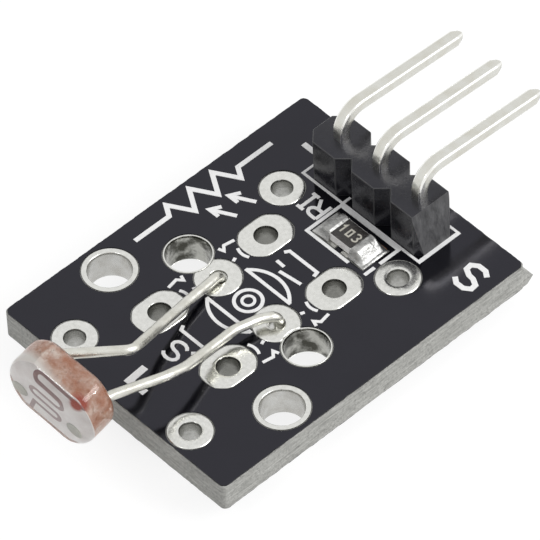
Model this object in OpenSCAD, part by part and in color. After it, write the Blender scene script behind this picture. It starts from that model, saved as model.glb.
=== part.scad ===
// Photoresistor module: a photoresistor on two bent leads, soldered to a small black circuit board with a
// chip resistor and a three-pin angled header.
// Millimetres. The origin is midway between the mounting holes, on the underside of the board.
// +X runs across the board, +Y towards the header, +Z up through the board.

/* [Board] */
// Width of the board, across the header
board_w = 14.5; // [14.4:0.1:20]
// Length of the board, from the sensor end to the header end
board_l = 18.5; // [16.6:0.1:24]
// Thickness of the board with its films
board_t = 1.6; // [1:0.1:2.4]
// Radius of the board's corners
corner_r = 0.25; // [0.15:0.05:0.6]
// How far the rear edge stands out, where the board was snapped off its panel
ridge_out = 0.55; // [0.2:0.05:0.8]
// Height of that ridge above the underside
ridge_up = 0.4; // [0.2:0.05:0.6]
// Thickness of the mask and pad films
film_t = 0.06; // [0.05:0.01:0.1]
// Thickness of the copper tracks under the mask
track_t = 0.035; // [0.02:0.005:0.045]
// Width of the copper tracks
track_w = 0.5; // [0.3:0.05:0.6]
// Gap between a copper track and the pads it passes
route_gap = 0.2; // [0.1:0.05:0.3]
// Set-back of the solder mask from the board's edges
mask_inset = 0.05; // [0.05:0.01:0.14]
// Gap between a pad and the mask around it
mask_gap = 0.05; // [0.02:0.01:0.08]
// Wall of the plating inside a hole
plating_t = 0.05; // [0.03:0.01:0.1]

/* [Mounting holes] */
// Spacing of the two mounting holes
mount_spacing = 11.36; // [10.8:0.01:11.5]
// Diameter of a mounting hole
mount_hole_d = 2.05; // [1.6:0.05:2.4]
// Diameter of the ring around a mounting hole
mount_ring_d = 2.6; // [2.55:0.05:2.8]

/* [Large holes] */
// Board left between a lead's hole and a large hole's rim
large_web = 0.425; // [0.2:0.005:0.5]
// Diameter of a large hole
large_hole_d = 2.12; // [1.8:0.02:2.3]
// Width of the bright rim around a large hole
large_rim = 0.1; // [0.08:0.01:0.2]

/* [Empty pads] */
// Diameter of an empty round pad
round_pad_d = 2.1; // [1.6:0.02:2.2]
// Diameter of the hole in an empty round pad
round_hole_d = 1; // [0.7:0.05:1.3]
// Spacing of the round pads across the board
round_dx = 7.62; // [7.5:0.01:8.2]
// Width of an empty oblong pad
oblong_w = 2.05; // [1.8:0.05:2.2]
// Length of an empty oblong pad
oblong_l = 2.65; // [2.4:0.05:2.9]
// Cut across an oblong pad's corners
oblong_cut = 0.52; // [0.3:0.02:0.7]
// Diameter of the hole in an empty oblong pad
oblong_hole_d = 1.08; // [0.8:0.02:1.4]
// Spacing of the oblong pads across the board
oblong_dx = 4.5; // [4.4:0.05:4.7]

/* [Header] */
// Pitch of the header pins
pin_pitch = 2.54; // [2.4:0.02:2.6]
// Side of a square header pin
pin_side = 0.6; // [0.5:0.02:0.62]
// Depth of the header housing
housing_d = 2.3; // [2:0.05:2.6]
// Height of the header housing
housing_h = 2.54; // [1.5:0.02:2.7]
// Corner cut between the housing's segments
housing_cut = 0.55; // [0.3:0.05:0.8]
// How far the sheared end stops short of full length at the top
shear_top = 0.6; // [0.1:0.05:0.8]
// How far the sheared end stops short of full length at the bottom
shear_bottom = 0.2; // [0.1:0.05:0.4]
// How far the header sits off its pads, across the board
header_shift = 0.1; // [0:0.01:0.12]
// Height of a pin's level run above the board
pin_rise = 4; // [3.9:0.05:5]
// Reach of the pin tips past the pin row
pin_reach = 7.55; // [4:0.05:12]
// Radius of a pin's bend, at its middle
pin_bend_r = 1.1; // [0.6:0.05:1.2]
// Angle that a pin turns through at its bend
pin_bend_deg = 93; // [85:1:95]
// Length of a pin's pointed tip
pin_point = 0.45; // [0.2:0.05:0.8]
// Width of a pin's blunt end
pin_end = 0.28; // [0.15:0.01:0.4]
// Diameter of a header pad
header_pad_d = 1.7; // [1.5:0.05:1.9]
// Diameter of a header hole
header_hole_d = 1.1; // [1.08:0.02:1.2]

/* [Chip resistor] */
// Length of the chip, end to end
chip_l = 2; // [1.8:0.05:2.2]
// Width of the chip
chip_w = 1.25; // [1:0.05:1.4]
// Height of the chip
chip_h = 0.5; // [0.4:0.02:0.7]
// Length of a metal terminal
terminal_l = 0.35; // [0.2:0.05:0.45]
// Thickness of a metal terminal
terminal_t = 0.05; // [0.03:0.01:0.08]
// Height of the dark coating over the ceramic
coating_t = 0.06; // [0.04:0.01:0.1]
// Set-back of the coating from the chip's long sides
coating_inset = 0.05; // [0.02:0.01:0.1]
// Thickness of the printed value
marking_t = 0.02; // [0.01:0.005:0.04]
// Length of a resistor pad
chip_pad_l = 1.45; // [1.3:0.05:1.5]
// Width of a resistor pad
chip_pad_w = 1.6; // [1.5:0.05:1.8]
// Spacing of the resistor pads
chip_pad_dx = 1.86; // [1.8:0.02:2]
// Place of the chip across the board
chip_x = 0.7; // [0.6:0.01:0.8]
// Height of the solder over a terminal
solder_over_chip = 0.09; // [0.04:0.01:0.15]

/* [Photoresistor] */
// Width of the resin body, along the line of the leads
resin_w = 4.95; // [4.85:0.05:6]
// Height of the resin body, between its flats
resin_h = 4.05; // [4:0.05:5]
// Thickness of the resin body
resin_t = 1.9; // [1.8:0.05:2.6]
// Radius of the resin's front edge
resin_front_r = 0.4; // [0.15:0.01:0.45]
// Radius of the resin's back edge
resin_back_r = 0.45; // [0.3:0.05:0.5]
// Width of the ceramic disc
ceramic_w = 4.4; // [4.2:0.05:4.5]
// Height of the ceramic disc, between its flats
ceramic_h = 3.55; // [3.5:0.05:3.6]
// Thickness of the ceramic disc
ceramic_t = 1.25; // [0.9:0.05:1.3]
// How far the ceramic sits behind the resin's middle
ceramic_shift = 0.17; // [0:0.01:0.18]
// Thickness of the films on the ceramic's face
face_film_t = 0.04; // [0.02:0.01:0.06]
// Width of the light-sensitive track
sensor_track_w = 0.24; // [0.12:0.02:0.26]
// Pitch of the track's runs
sensor_track_pitch = 0.63; // [0.5:0.01:0.64]
// Length of the track's runs between their bends
sensor_track_run = 1.15; // [1:0.05:1.2]
// Place of the track's middle across the face
sensor_track_x = -0.19; // [-0.25:0.01:0.25]
// Place of the track's middle above the face's middle
sensor_track_z = 0.35; // [0:0.01:0.36]
// Turn of the track on the face
sensor_track_turn = -3; // [-5:0.5:5]
// Spacing of the two leads in the ceramic
lead_spacing = 3.2; // [3.1:0.05:3.25]
// Place of the leads' middle across the face
lead_shift = -0.08; // [-0.1:0.01:0.1]
// Drop of the leads below the face's middle
lead_drop = 0.68; // [0:0.01:0.7]
// Tilt of the line through both leads
lead_tilt = 6; // [0:0.5:8]
// Diameter of a lead's head
lead_head_d = 0.75; // [0.6:0.05:0.8]
// Height of a lead's head
lead_head_h = 0.22; // [0.1:0.01:0.3]
// Place of the resin body's middle across the board
sensor_x = -0.14; // [-0.5:0.01:0.5]
// Distance from the board's front edge to the resin body's middle
sensor_out = 2.69; // [2.5:0.01:4]
// Height of the resin body's middle above the board
sensor_up = 2.6; // [2.5:0.01:4]
// Tip of the sensor's face below level
sensor_tip = 8.5; // [0:0.5:20]
// Roll of the sensor, its right side down
sensor_roll = 15; // [0:0.5:20]
// Turn of the sensor to its right
sensor_yaw = 7; // [-5:0.5:10]

/* [Leads] */
// Diameter of a lead
lead_d = 0.5; // [0.4:0.02:0.56]
// Radius of a lead's bends, at its middle
lead_bend_r = 0.4; // [0.3:0.05:0.6]
// Straight length of a lead behind the sensor, before its bend
lead_stub = 0.05; // [0.02:0.01:0.3]
// Spacing of the pads that hold the leads
lead_pad_spacing = 3.81; // [3.7:0.01:3.9]
// Diameter of a lead pad
lead_pad_d = 2.2; // [1.7:0.05:2.25]
// Diameter of the hole in a lead pad
lead_hole_d = 0.8; // [0.7:0.05:1]

/* [Solder] */
// Length of the pins and leads below the board
tail_l = 1.2; // [1:0.05:2]
// Height of a solder cone below the board
cone_h = 0.85; // [0.5:0.05:0.95]
// Wall of a solder cone at its tip
cone_tip_wall = 0.12; // [0.08:0.01:0.2]
// Set-back of a solder cone from its pad's edge
cone_inset = 0.12; // [0.05:0.01:0.2]
// Height of the solder inside a hole
solder_fill = 0.9; // [0.4:0.05:0.95]

/* [Legend] */
// Width of the printed lines
print_w = 0.17; // [0.1:0.01:0.2]
// Thickness of the printed lines
print_t = 0.03; // [0.02:0.005:0.05]
// Gap between the housing and the printed line around it
print_gap = 0.02; // [0.01:0.01:0.05]

/* [Hidden] */
$fn = 48;
eps = 0.01;
bend_lap = 0.02;
bend_swell = 0.006;
big = 40;

left_side = -1;
right_side = 1;
sides = [left_side, right_side];

// The layout lies on rows along the board, counted from the mounting holes
layout_rows = 29.134;
row = board_l / layout_rows;
front_y = -7.874 * row;
front_round_y = -6 * row;
lead_pad_y = 5 * row;
oblong_dy = 10.236 * row;
rear_round_y = 14 * row;
chip_y = 14 * row;
header_y = 18 * row;
rear_y = front_y + board_l;

top_z = board_t;
pin_places = [-pin_pitch, 0, pin_pitch];
ground_x = pin_places[0];
supply_x = pin_places[1];
signal_x = pin_places[2];
lead_pad_x = lead_pad_spacing / 2;
large_ring_d = large_hole_d + 2 * large_rim;
large_x = lead_pad_x + lead_hole_d / 2 + large_web + large_ring_d / 2;
sensor_pos = [sensor_x, front_y - sensor_out, top_z + sensor_up];
arc_steps = 8;

mount_places = [for (s = sides) [s * mount_spacing / 2, 0]];
large_places = [for (s = sides) [s * large_x, lead_pad_y]];
lead_places = [for (s = sides) [s * lead_pad_x, lead_pad_y]];
header_places = [for (x = pin_places) [x, header_y]];
chip_pad_places = [for (s = sides) [chip_x + s * chip_pad_dx / 2, chip_y]];
round_places = [for (y = [front_round_y, rear_round_y]) for (s = sides) [s * round_dx / 2, y]];
oblong_places = [for (b = sides) for (s = sides) [s * oblong_dx / 2, lead_pad_y + b * oblong_dy / 2]];

laminate_color = [0.62, 0.62, 0.58];
mask_color = [0.1, 0.1, 0.11];
print_color = [0.93, 0.93, 0.93];
tin_color = [0.84, 0.84, 0.81];
copper_color = [0.72, 0.45, 0.3];
plastic_color = [0.13, 0.13, 0.14];
ceramic_color = [0.93, 0.92, 0.88];
coating_color = [0.12, 0.11, 0.11];
resin_color = [0.85, 0.7, 0.64, 0.45];
track_color = [0.46, 0.33, 0.33];
electrode_color = [0.8, 0.78, 0.78];

// Vectors and outlines

function unit(v) = v / norm(v);
function turned(v) = [-v.y, v.x];
function arc(c, rx, ry, a0, a1, steps = arc_steps) =
    [for (i = [0:steps]) let (a = a0 + (a1 - a0) * i / steps) c + [rx * cos(a), ry * sin(a)]];
function moved(points, by) = [for (p = points) p + by];
function flipped(points, about) = [for (p = points) 2 * about - p];
function mirrored(points) = [for (p = points) [-p.x, p.y]];

// Outline of a line of even width along points
function stroke(points, w) =
    let (last = len(points) - 1)
    let (normals = [for (i = [0:last - 1]) turned(unit(points[i + 1] - points[i]))])
    let (mitres = [for (i = [0:last])
        i == 0 ? normals[0]
        : i == last ? normals[last - 1]
        : (normals[i - 1] + normals[i]) / (1 + normals[i - 1] * normals[i])])
    concat([for (i = [0:last]) points[i] + mitres[i] * w / 2],
           [for (i = [last:-1:0]) points[i] - mitres[i] * w / 2]);

module line(points, w = print_w) {
    polygon(stroke(points, w));
}

module ring(c, r, w = print_w) {
    translate(c)
        difference() {
            circle(r + w / 2);
            circle(r - w / 2);
        }
}

// A solid carried into a frame of three axes at a point
module framed(x, y, z, at) {
    multmatrix([[x[0], y[0], z[0], at[0]], [x[1], y[1], z[1], at[1]], [x[2], y[2], z[2], at[2]], [0, 0, 0, 1]])
        children();
}

// Round wire along points, with round bends that are wider where the wire turns less
module bent_wire(points, d, bend_r) {
    last = len(points) - 1;
    dirs = [for (i = [0:last - 1]) unit(points[i + 1] - points[i])];
    lens = [for (i = [0:last - 1]) norm(points[i + 1] - points[i])];
    angles = [for (i = [1:last - 1]) acos(dirs[i - 1] * dirs[i])];
    radii = [for (i = [1:last - 1])
        min(bend_r * 90 / angles[i - 1], 0.48 * min(lens[i - 1], lens[i]) / tan(angles[i - 1] / 2))];
    trims = concat([0], [for (i = [0:last - 2]) radii[i] * tan(angles[i] / 2)], [0]);
    for (i = [0:last - 1]) {
        side = unit(cross(dirs[i], abs(dirs[i].z) < 0.9 ? [0, 0, 1] : [1, 0, 0]));
        start = i == 0 ? 0 : trims[i] - bend_lap;
        end = i == last - 1 ? lens[i] : lens[i] - trims[i + 1] + bend_lap;
        framed(side, cross(dirs[i], side), dirs[i], points[i] + dirs[i] * start)
            cylinder(d = d, h = end - start);
    }
    for (i = [1:last - 1]) {
        inward = unit(dirs[i] - dirs[i - 1] * (dirs[i - 1] * dirs[i]));
        start = points[i] - dirs[i - 1] * trims[i];
        framed(-inward, dirs[i - 1], cross(dirs[i - 1], inward), start + inward * radii[i - 1])
            rotate_extrude(angle = angles[i - 1])
                translate([radii[i - 1], 0])
                    circle(d = d + bend_swell);
    }
}

// Board

module board_outline(inset = 0) {
    w = board_w - 2 * inset;
    l = board_l - 2 * inset;
    translate([0, rear_y - board_l / 2]) {
        square([w - 2 * corner_r, l], center = true);
        square([w, l - 2 * corner_r], center = true);
        for (x = sides)
            for (y = sides)
                translate([x * (w / 2 - corner_r), y * (l / 2 - corner_r)])
                    circle(corner_r);
    }
}

module drill(places, d) {
    for (p = places)
        translate([p.x, p.y, -eps])
            cylinder(d = d, h = board_t + 2 * eps);
}

module plated_drills() {
    wall = 2 * plating_t;
    drill(mount_places, mount_hole_d + wall);
    drill(large_places, large_hole_d + wall);
    drill(lead_places, lead_hole_d + wall);
    drill(header_places, header_hole_d + wall);
    drill(round_places, round_hole_d + wall);
    drill(oblong_places, oblong_hole_d + wall);
}

// Ridge along the rear edge, from a scored groove above it
module rear_ridge() {
    root = -2 * corner_r;
    framed([0, 1, 0], [0, 0, 1], [1, 0, 0], [0, rear_y, 0])
        linear_extrude(board_w - 2 * mask_inset, center = true)
            polygon([[root, film_t], [ridge_out / 3, film_t], [ridge_out, ridge_up],
                     [-corner_r, board_t - 2 * film_t], [root, board_t - 2 * film_t]]);
}

module circuit_board() {
    color(laminate_color)
        difference() {
            union() {
                translate([0, 0, film_t])
                    linear_extrude(board_t - 2 * film_t)
                        board_outline();
                rear_ridge();
            }
            plated_drills();
        }
}

// Outlines of the pads, grown where the mask stands clear of them
module mount_outline(p, grow = 0) {
    translate(p)
        circle(d = mount_ring_d + 2 * grow);
}

module large_outline(p, grow = 0) {
    translate(p)
        circle(d = large_ring_d + 2 * grow);
}

// The large hole beside a lead pad cuts into it
module lead_outline(p, grow = 0) {
    difference() {
        translate(p)
            circle(d = lead_pad_d + 2 * grow);
        for (q = large_places)
            translate(q)
                circle(d = large_ring_d);
    }
}

module header_outline(p, grow = 0) {
    translate(p)
        circle(d = header_pad_d + 2 * grow);
}

module round_outline(p, grow = 0) {
    translate(p)
        circle(d = round_pad_d + 2 * grow);
}

module oblong_outline(p, grow = 0) {
    half_w = oblong_w / 2 + grow;
    half_l = oblong_l / 2 + grow;
    cut = oblong_cut + (2 - sqrt(2)) * grow;
    right = [[half_w - cut, -half_l], [half_w, -half_l + cut], [half_w, half_l - cut], [half_w - cut, half_l]];
    translate(p)
        polygon(concat(right, flipped(right, [0, 0])));
}

module chip_pad_outline(p, grow = 0) {
    translate(p)
        square([chip_pad_l + 2 * grow, chip_pad_w + 2 * grow], center = true);
}

module drilled_outlines(grow = 0) {
    for (p = mount_places) mount_outline(p, grow);
    for (p = large_places) large_outline(p, grow);
    for (p = lead_places) lead_outline(p, grow);
    for (p = header_places) header_outline(p, grow);
    for (p = round_places) round_outline(p, grow);
    for (p = oblong_places) oblong_outline(p, grow);
}

module chip_outlines(grow = 0) {
    for (p = chip_pad_places) chip_pad_outline(p, grow);
}

// Copper tracks, in the films of both faces

route_x = oblong_dx / 2 - oblong_w / 2 - route_gap - track_w / 2;
ground_route = [header_places[0], [-route_x, chip_y], [-route_x, lead_pad_y + lead_pad_d / 2], lead_places[0]];
signal_route = [header_places[2], [route_x, chip_y], [route_x, lead_pad_y + lead_pad_d / 2], lead_places[1]];
supply_route = [header_places[1], chip_pad_places[0]];
signal_branch = [header_places[2], chip_pad_places[1]];

module bottom_track(route) {
    translate([0, 0, film_t - track_t])
        linear_extrude(track_t)
            difference() {
                line(route, track_w);
                drilled_outlines();
            }
}

module top_track(route) {
    translate([0, 0, top_z - film_t])
        linear_extrude(track_t)
            difference() {
                line(route, track_w);
                drilled_outlines();
                chip_outlines();
            }
}

module ground_track() {
    color(copper_color) bottom_track(ground_route);
}

module supply_track() {
    color(copper_color) top_track(supply_route);
}

module signal_track() {
    color(copper_color) {
        bottom_track(signal_route);
        top_track(signal_branch);
    }
}

module top_solder_mask() {
    color(mask_color)
        difference() {
            translate([0, 0, top_z - film_t])
                linear_extrude(film_t)
                    difference() {
                        board_outline(mask_inset);
                        drilled_outlines(mask_gap);
                        chip_outlines(mask_gap);
                    }
            top_track(supply_route);
            top_track(signal_branch);
        }
}

module bottom_solder_mask() {
    color(mask_color)
        difference() {
            linear_extrude(film_t)
                difference() {
                    board_outline(mask_inset);
                    drilled_outlines(mask_gap);
                }
            bottom_track(ground_route);
            bottom_track(signal_route);
        }
}

// A plated hole at a place, with the ring or pad that its children outline on both faces
module plated_hole(p, hole_d) {
    color(tin_color)
        difference() {
            union() {
                for (z = [0, top_z - film_t])
                    translate([0, 0, z])
                        linear_extrude(film_t)
                            children();
                translate([p.x, p.y, 0])
                    cylinder(d = hole_d + 2 * plating_t, h = board_t);
            }
            drill([p], hole_d);
        }
}

module mounting_hole_plating(i) {
    plated_hole(mount_places[i], mount_hole_d) mount_outline(mount_places[i]);
}

module large_hole_plating(i) {
    plated_hole(large_places[i], large_hole_d) large_outline(large_places[i]);
}

module lead_pad(i) {
    plated_hole(lead_places[i], lead_hole_d) lead_outline(lead_places[i]);
}

module round_pad(i) {
    plated_hole(round_places[i], round_hole_d) round_outline(round_places[i]);
}

module oblong_pad(i) {
    plated_hole(oblong_places[i], oblong_hole_d) oblong_outline(oblong_places[i]);
}

module pin_pad(i) {
    plated_hole(header_places[i], header_hole_d) header_outline(header_places[i]);
}

module resistor_pad(i) {
    color(tin_color)
        translate([0, 0, top_z - film_t])
            linear_extrude(film_t)
                chip_pad_outline(chip_pad_places[i]);
}

// Legend print

function letter_s(c, w, h, steps = arc_steps) =
    concat(arc(c + [0, h / 4], w / 2, h / 4, 20, 255, steps),
           arc(c - [0, h / 4], w / 2, h / 4, 75, -160, steps));
function digit_one(c, h) = [c + [-h / 4, h / 4], c + [0, h / 2], c - [0, h / 2]];
function three_bow(c, w, h, s) = arc(c + [0, s * h / 4], w / 2, h / 4, s * 150, -s * 80);

// Digit 1 as a stem between two bars
module barred_one(c, w, h) {
    line([c - [0, h / 2], c + [0, h / 2]]);
    for (s = sides)
        line([c + [-w / 2, s * h / 2], c + [w / 2, s * h / 2]]);
}

// Letter R upside down: its stem, its bowl and its leg
module flipped_r(c, w, h) {
    stem = [c + [-w / 2, -h / 2], c + [-w / 2, h / 2]];
    bowl = concat([c + [-w / 2, h / 2]], arc(c + [0, h / 4], w / 2, h / 4, 90, -90), [c + [-w / 2, 0]]);
    leg = [c, c + [w / 2, -h / 2]];
    for (points = [stem, bowl, leg])
        line(flipped(points, c));
}

// Plain symbol of a light-dependent resistor along the left edge
module sensor_symbol() {
    x = -board_w / 2 + 1.1;
    wire_front = lead_pad_y - 1.2;
    zigzag_front = wire_front + 2.1;
    wire_rear = header_y - 1;
    zigzag_rear = wire_rear - 2.1;
    swing = 0.6;
    turns = 6;
    step = (zigzag_rear - zigzag_front) / turns;
    zigzag = [for (i = [0:turns - 1]) [x + (i % 2 == 0 ? -swing : swing), zigzag_front + (i + 0.5) * step]];
    line(concat([[x, wire_front], [x, zigzag_front]], zigzag, [[x, zigzag_rear], [x, wire_rear]]), 0.24);
    for (y = [zigzag_front + 1.6, zigzag_front + 2.8]) {
        tail = [x + 2.15, y + 0.6];
        head = [x + 1.05, y];
        line([tail, head], 0.2);
        line([head + [0.52, -0.02], head + [-0.06, -0.03], head + [0.2, 0.48]], 0.2);
    }
}

module switch_outline() {
    // two concentric rings and two segments of a larger circle
    middle = [0.08, lead_pad_y];
    cap_r = 1.85;
    chord = 1.2;
    cap_angle = asin(chord / cap_r);
    ring(middle, 0.65);
    ring(middle, 0.29, 0.14);
    for (a = [0, 180])
        translate(middle)
            rotate(a) {
                line(arc([0, 0], cap_r, cap_r, cap_angle, 180 - cap_angle, 2 * arc_steps));
                line([[-cap_r * cos(cap_angle) - 0.06, chord], [cap_r * cos(cap_angle) + 0.06, chord]]);
            }
    // brackets at both ends of the outline
    translate(middle) {
        line([[-0.98, 3.12], [-0.85, 3.34], [0.95, 3.34], [1.02, 3.07]]);
        line([[-0.98, -3.07], [-0.85, -3.31], [0.62, -3.31], [0.75, -3.07]]);
        line([[-0.85, 2.54], [-0.35, 2.52]]);
        line([[-0.3, 2.18], [0.95, 2.34]]);
    }
    // broken sides of the outline, beside the large holes
    broken_side = [[-3.22, 1.14], [-2.94, 1.24], [-3.2, 1.46], [-3.1, 2.02]];
    near_tick = [[-2.28, 1.32], [-2.2, 1.12]];
    near_arc = arc([-2.25, 2.44], 0.75, 0.75, 240, 300);
    for (points = [broken_side, near_tick, near_arc])
        for (a = [0, 180])
            translate(middle)
                rotate(a) {
                    line(points, 0.15);
                    line(mirrored(points), 0.15);
                }
}

module legend() {
    row_x = len(pin_places) * pin_pitch / 2;
    outline_w = 0.13;
    outline_end_w = 0.2;
    outline_left = header_shift - row_x - print_gap - outline_w;
    outline_right = header_shift + row_x - shear_bottom + 0.2;
    outline_y = housing_d / 2 + print_gap + outline_w;
    tick_x = header_shift - pin_pitch / 2;
    tick_end = -housing_d / 2 + housing_cut - 0.15;
    translate([0, header_y]) {
        // outline along the housing's foot, with a tick in its first notch
        difference() {
            translate([outline_left, -outline_y])
                square([outline_right - outline_left, 2 * outline_y]);
            translate([outline_left, -outline_y] + [outline_w, outline_w])
                square([outline_right - outline_left - outline_w - outline_end_w, 2 * (outline_y - outline_w)]);
        }
        line([[tick_x, -outline_y + outline_w / 2], [tick_x, tick_end]], 0.14);
        // pin marks: a bar at the ground pin and a letter at the signal pin
        line([[-2 * pin_pitch, 0], [0.75 - 2 * pin_pitch, 0]], 0.28);
        line(letter_s([board_w / 2 - 1.15, -0.2], 1.1, 1.48, 5), 0.26);
    }
    translate([chip_x, chip_y]) {
        // the box around the chip ends at the header's outline
        pads_x = (chip_pad_dx + chip_pad_l) / 2;
        box_left = -pads_x - 0.17;
        box_right = pads_x + 0.285;
        box_front = -chip_pad_w / 2 - 0.17;
        box_rear = header_y - chip_y - outline_y - print_w / 2 + eps;
        line([[box_right, -0.02], [box_right, box_rear], [box_left, box_rear], [box_left, box_front],
              [box_right - 1.05, box_front]]);
        line([[box_right, -0.35], [box_right, box_front]]);
        flipped_r([box_left - 0.56, 0.27], 0.66, 1);
        barred_one([box_left - 1.24, 0.27], 0.42, 1);
    }
    switch_outline();
    sensor_symbol();
    translate([0, front_y]) {
        line(letter_s([-0.06, 3.85], 0.8, 1.1));
        line(digit_one([0.8, 4], 1));
        line([[-0.3, 2.25], [-0.22, 1.22], [0.8, 1.25]], 0.36);
    }
}

module legend_print() {
    color(print_color)
        translate([0, 0, top_z])
            linear_extrude(print_t)
                legend();
}

// Chip resistor

module chip_at() {
    translate([chip_x, chip_y, top_z])
        children();
}

module resistor_ceramic() {
    color(ceramic_color)
        chip_at()
            translate([-chip_l / 2 + terminal_t, -chip_w / 2, terminal_t])
                cube([chip_l - 2 * terminal_t, chip_w, chip_h - 2 * terminal_t]);
}

module resistor_terminal(s) {
    color(tin_color)
        difference() {
            chip_at()
                translate([s * (chip_l - terminal_l) / 2, 0, chip_h / 2])
                    cube([terminal_l, chip_w, chip_h], center = true);
            resistor_ceramic();
        }
}

module resistor_coating() {
    length = chip_l - 2 * terminal_l;
    width = chip_w - 2 * coating_inset;
    color(coating_color)
        chip_at()
            translate([-length / 2, -width / 2, chip_h - terminal_t])
                cube([length, width, coating_t]);
}

module resistor_marking() {
    digit_h = 0.48;
    digit_w = 0.28;
    digit_gap = 0.42;
    stroke_w = 0.08;
    color(print_color)
        chip_at()
            translate([0, 0, chip_h - terminal_t + coating_t])
                linear_extrude(marking_t) {
                    line(digit_one([-digit_gap, 0], digit_h), stroke_w);
                    difference() {
                        square([digit_w, digit_h], center = true);
                        square([digit_w - 2 * stroke_w, digit_h - 2 * stroke_w], center = true);
                    }
                    for (s = sides)
                        line(three_bow([digit_gap, 0], digit_w, digit_h, s), stroke_w);
                }
}

// Solder from the pad's edge up over a terminal
module resistor_solder(s) {
    end_x = chip_l / 2;
    pad_edge = (chip_pad_dx + chip_pad_l) / 2;
    toe_h = 0.1;
    shoulder = 0.18;
    profile = [[end_x - terminal_l, 0], [pad_edge, 0], [pad_edge, toe_h],
               [end_x + shoulder, chip_h - shoulder], [end_x, chip_h + solder_over_chip],
               [end_x - terminal_l, chip_h + solder_over_chip]];
    color(tin_color)
        chip_at()
            difference() {
                mirror([s < 0 ? 1 : 0, 0, 0])
                    rotate([90, 0, 0])
                        translate([0, 0, -chip_pad_w / 2])
                            linear_extrude(chip_pad_w)
                                polygon(profile);
                translate([-chip_l / 2, -chip_w / 2, -eps])
                    cube([chip_l, chip_w, chip_h + eps]);
            }
}

// Header

module housing_outline() {
    half = pin_pitch / 2;
    front = [for (i = [0:len(pin_places) - 1]) let (x = pin_places[i])
        each concat(i == 0 ? [[x - half, -housing_d / 2 + housing_cut]] : [],
                    [[x - half + housing_cut, -housing_d / 2], [x + half - housing_cut, -housing_d / 2],
                     [x + half, -housing_d / 2 + housing_cut]])];
    rear = [for (i = [len(front) - 1:-1:0]) [front[i].x, -front[i].y]];
    polygon(concat(front, rear));
}

module header_housing() {
    end_x = len(pin_places) * pin_pitch / 2;
    kept = [[-big, 0], [end_x - shear_bottom, 0], [end_x - shear_top, housing_h], [-big, housing_h]];
    color(plastic_color)
        translate([header_shift, header_y, top_z])
            difference() {
                intersection() {
                    linear_extrude(housing_h)
                        housing_outline();
                    rotate([90, 0, 0])
                        translate([0, 0, -housing_d])
                            linear_extrude(2 * housing_d)
                                polygon(kept);
                }
                for (x = pin_places)
                    translate([x, 0, housing_h / 2])
                        cube([pin_side, pin_side, 2 * housing_h], center = true);
            }
}

// Straight stretch of a pin along +Y that ends in a blunt point
module pin_run(length) {
    half = pin_side / 2;
    shape = [[-half, 0], [half, 0], [half, length - pin_point], [pin_end / 2, length],
             [-pin_end / 2, length], [-half, length - pin_point]];
    intersection() {
        linear_extrude(pin_side, center = true)
            polygon(shape);
        rotate([0, 90, 0])
            linear_extrude(pin_side, center = true)
                polygon(shape);
    }
}

module header_pin(x) {
    bend_z = top_z + pin_rise - pin_bend_r;
    run_l = (pin_reach - pin_bend_r * (1 - cos(pin_bend_deg))) / sin(pin_bend_deg);
    color(tin_color) {
        translate([x + header_shift, header_y, (bend_z - tail_l) / 2])
            cube([pin_side, pin_side, bend_z + tail_l], center = true);
        framed([0, -1, 0], [0, 0, 1], [-1, 0, 0], [x + header_shift, header_y + pin_bend_r, bend_z]) {
            rotate_extrude(angle = pin_bend_deg)
                translate([pin_bend_r, 0])
                    square(pin_side, center = true);
            rotate([0, 0, pin_bend_deg])
                translate([pin_bend_r, 0, 0])
                    pin_run(run_l);
        }
    }
}

// Solder cone under a pad, with the solder that fills the hole
module solder_joint(p, pad_d, hole_d, core_d) {
    translate([p.x, p.y, 0]) {
        cylinder(d = hole_d, h = solder_fill);
        translate([0, 0, -cone_h])
            cylinder(d1 = core_d + 2 * cone_tip_wall, d2 = pad_d - 2 * cone_inset, h = cone_h);
    }
}

module pin_solder(i) {
    p = header_places[i];
    color(tin_color)
        difference() {
            solder_joint(p, header_pad_d, header_hole_d, pin_side * sqrt(2) + 2 * header_shift);
            translate([p.x + header_shift, p.y, 0])
                cube([pin_side, pin_side, 2 * board_t + 2 * tail_l], center = true);
        }
}

// Each lead leans to a side of its hole
lead_slack = (lead_hole_d - lead_d) / 2;
lead_leans = [[0.9, 0], [0.4, 0.75]] * lead_slack;

module lead_solder(i) {
    p = lead_places[i];
    color(tin_color)
        difference() {
            solder_joint(p, lead_pad_d - 2 * large_rim, lead_hole_d, lead_hole_d);
            translate([p.x + lead_leans[i].x, p.y + lead_leans[i].y, -tail_l])
                cylinder(d = lead_d, h = tail_l + board_t);
        }
}

// Photoresistor, in a frame of its own: X along the leads, Y through the disc to its back, Z up

module sensor_at() {
    translate(sensor_pos)
        rotate([sensor_tip, sensor_roll, sensor_yaw])
            children();
}

function tipped(p) = [p.x, p.y * cos(sensor_tip) - p.z * sin(sensor_tip), p.y * sin(sensor_tip) + p.z * cos(sensor_tip)];
function rolled(p) = [p.x * cos(sensor_roll) + p.z * sin(sensor_roll), p.y, -p.x * sin(sensor_roll) + p.z * cos(sensor_roll)];
function yawed(p) = [p.x * cos(sensor_yaw) - p.y * sin(sensor_yaw), p.x * sin(sensor_yaw) + p.y * cos(sensor_yaw), p.z];
function from_sensor(p) = sensor_pos + yawed(rolled(tipped(p)));

face_y = ceramic_shift - ceramic_t / 2;
film_y = face_y - face_film_t;
resin_back_y = resin_t / 2;

// Turns a shape drawn in X and Z, and raised towards the front, to stand on a level of Y
module on_face(y, height) {
    translate([0, y, 0])
        rotate([90, 0, 0])
            linear_extrude(height)
                children();
}

module flatted_circle(w, h) {
    intersection() {
        circle(d = w);
        square([w, h], center = true);
    }
}

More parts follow.
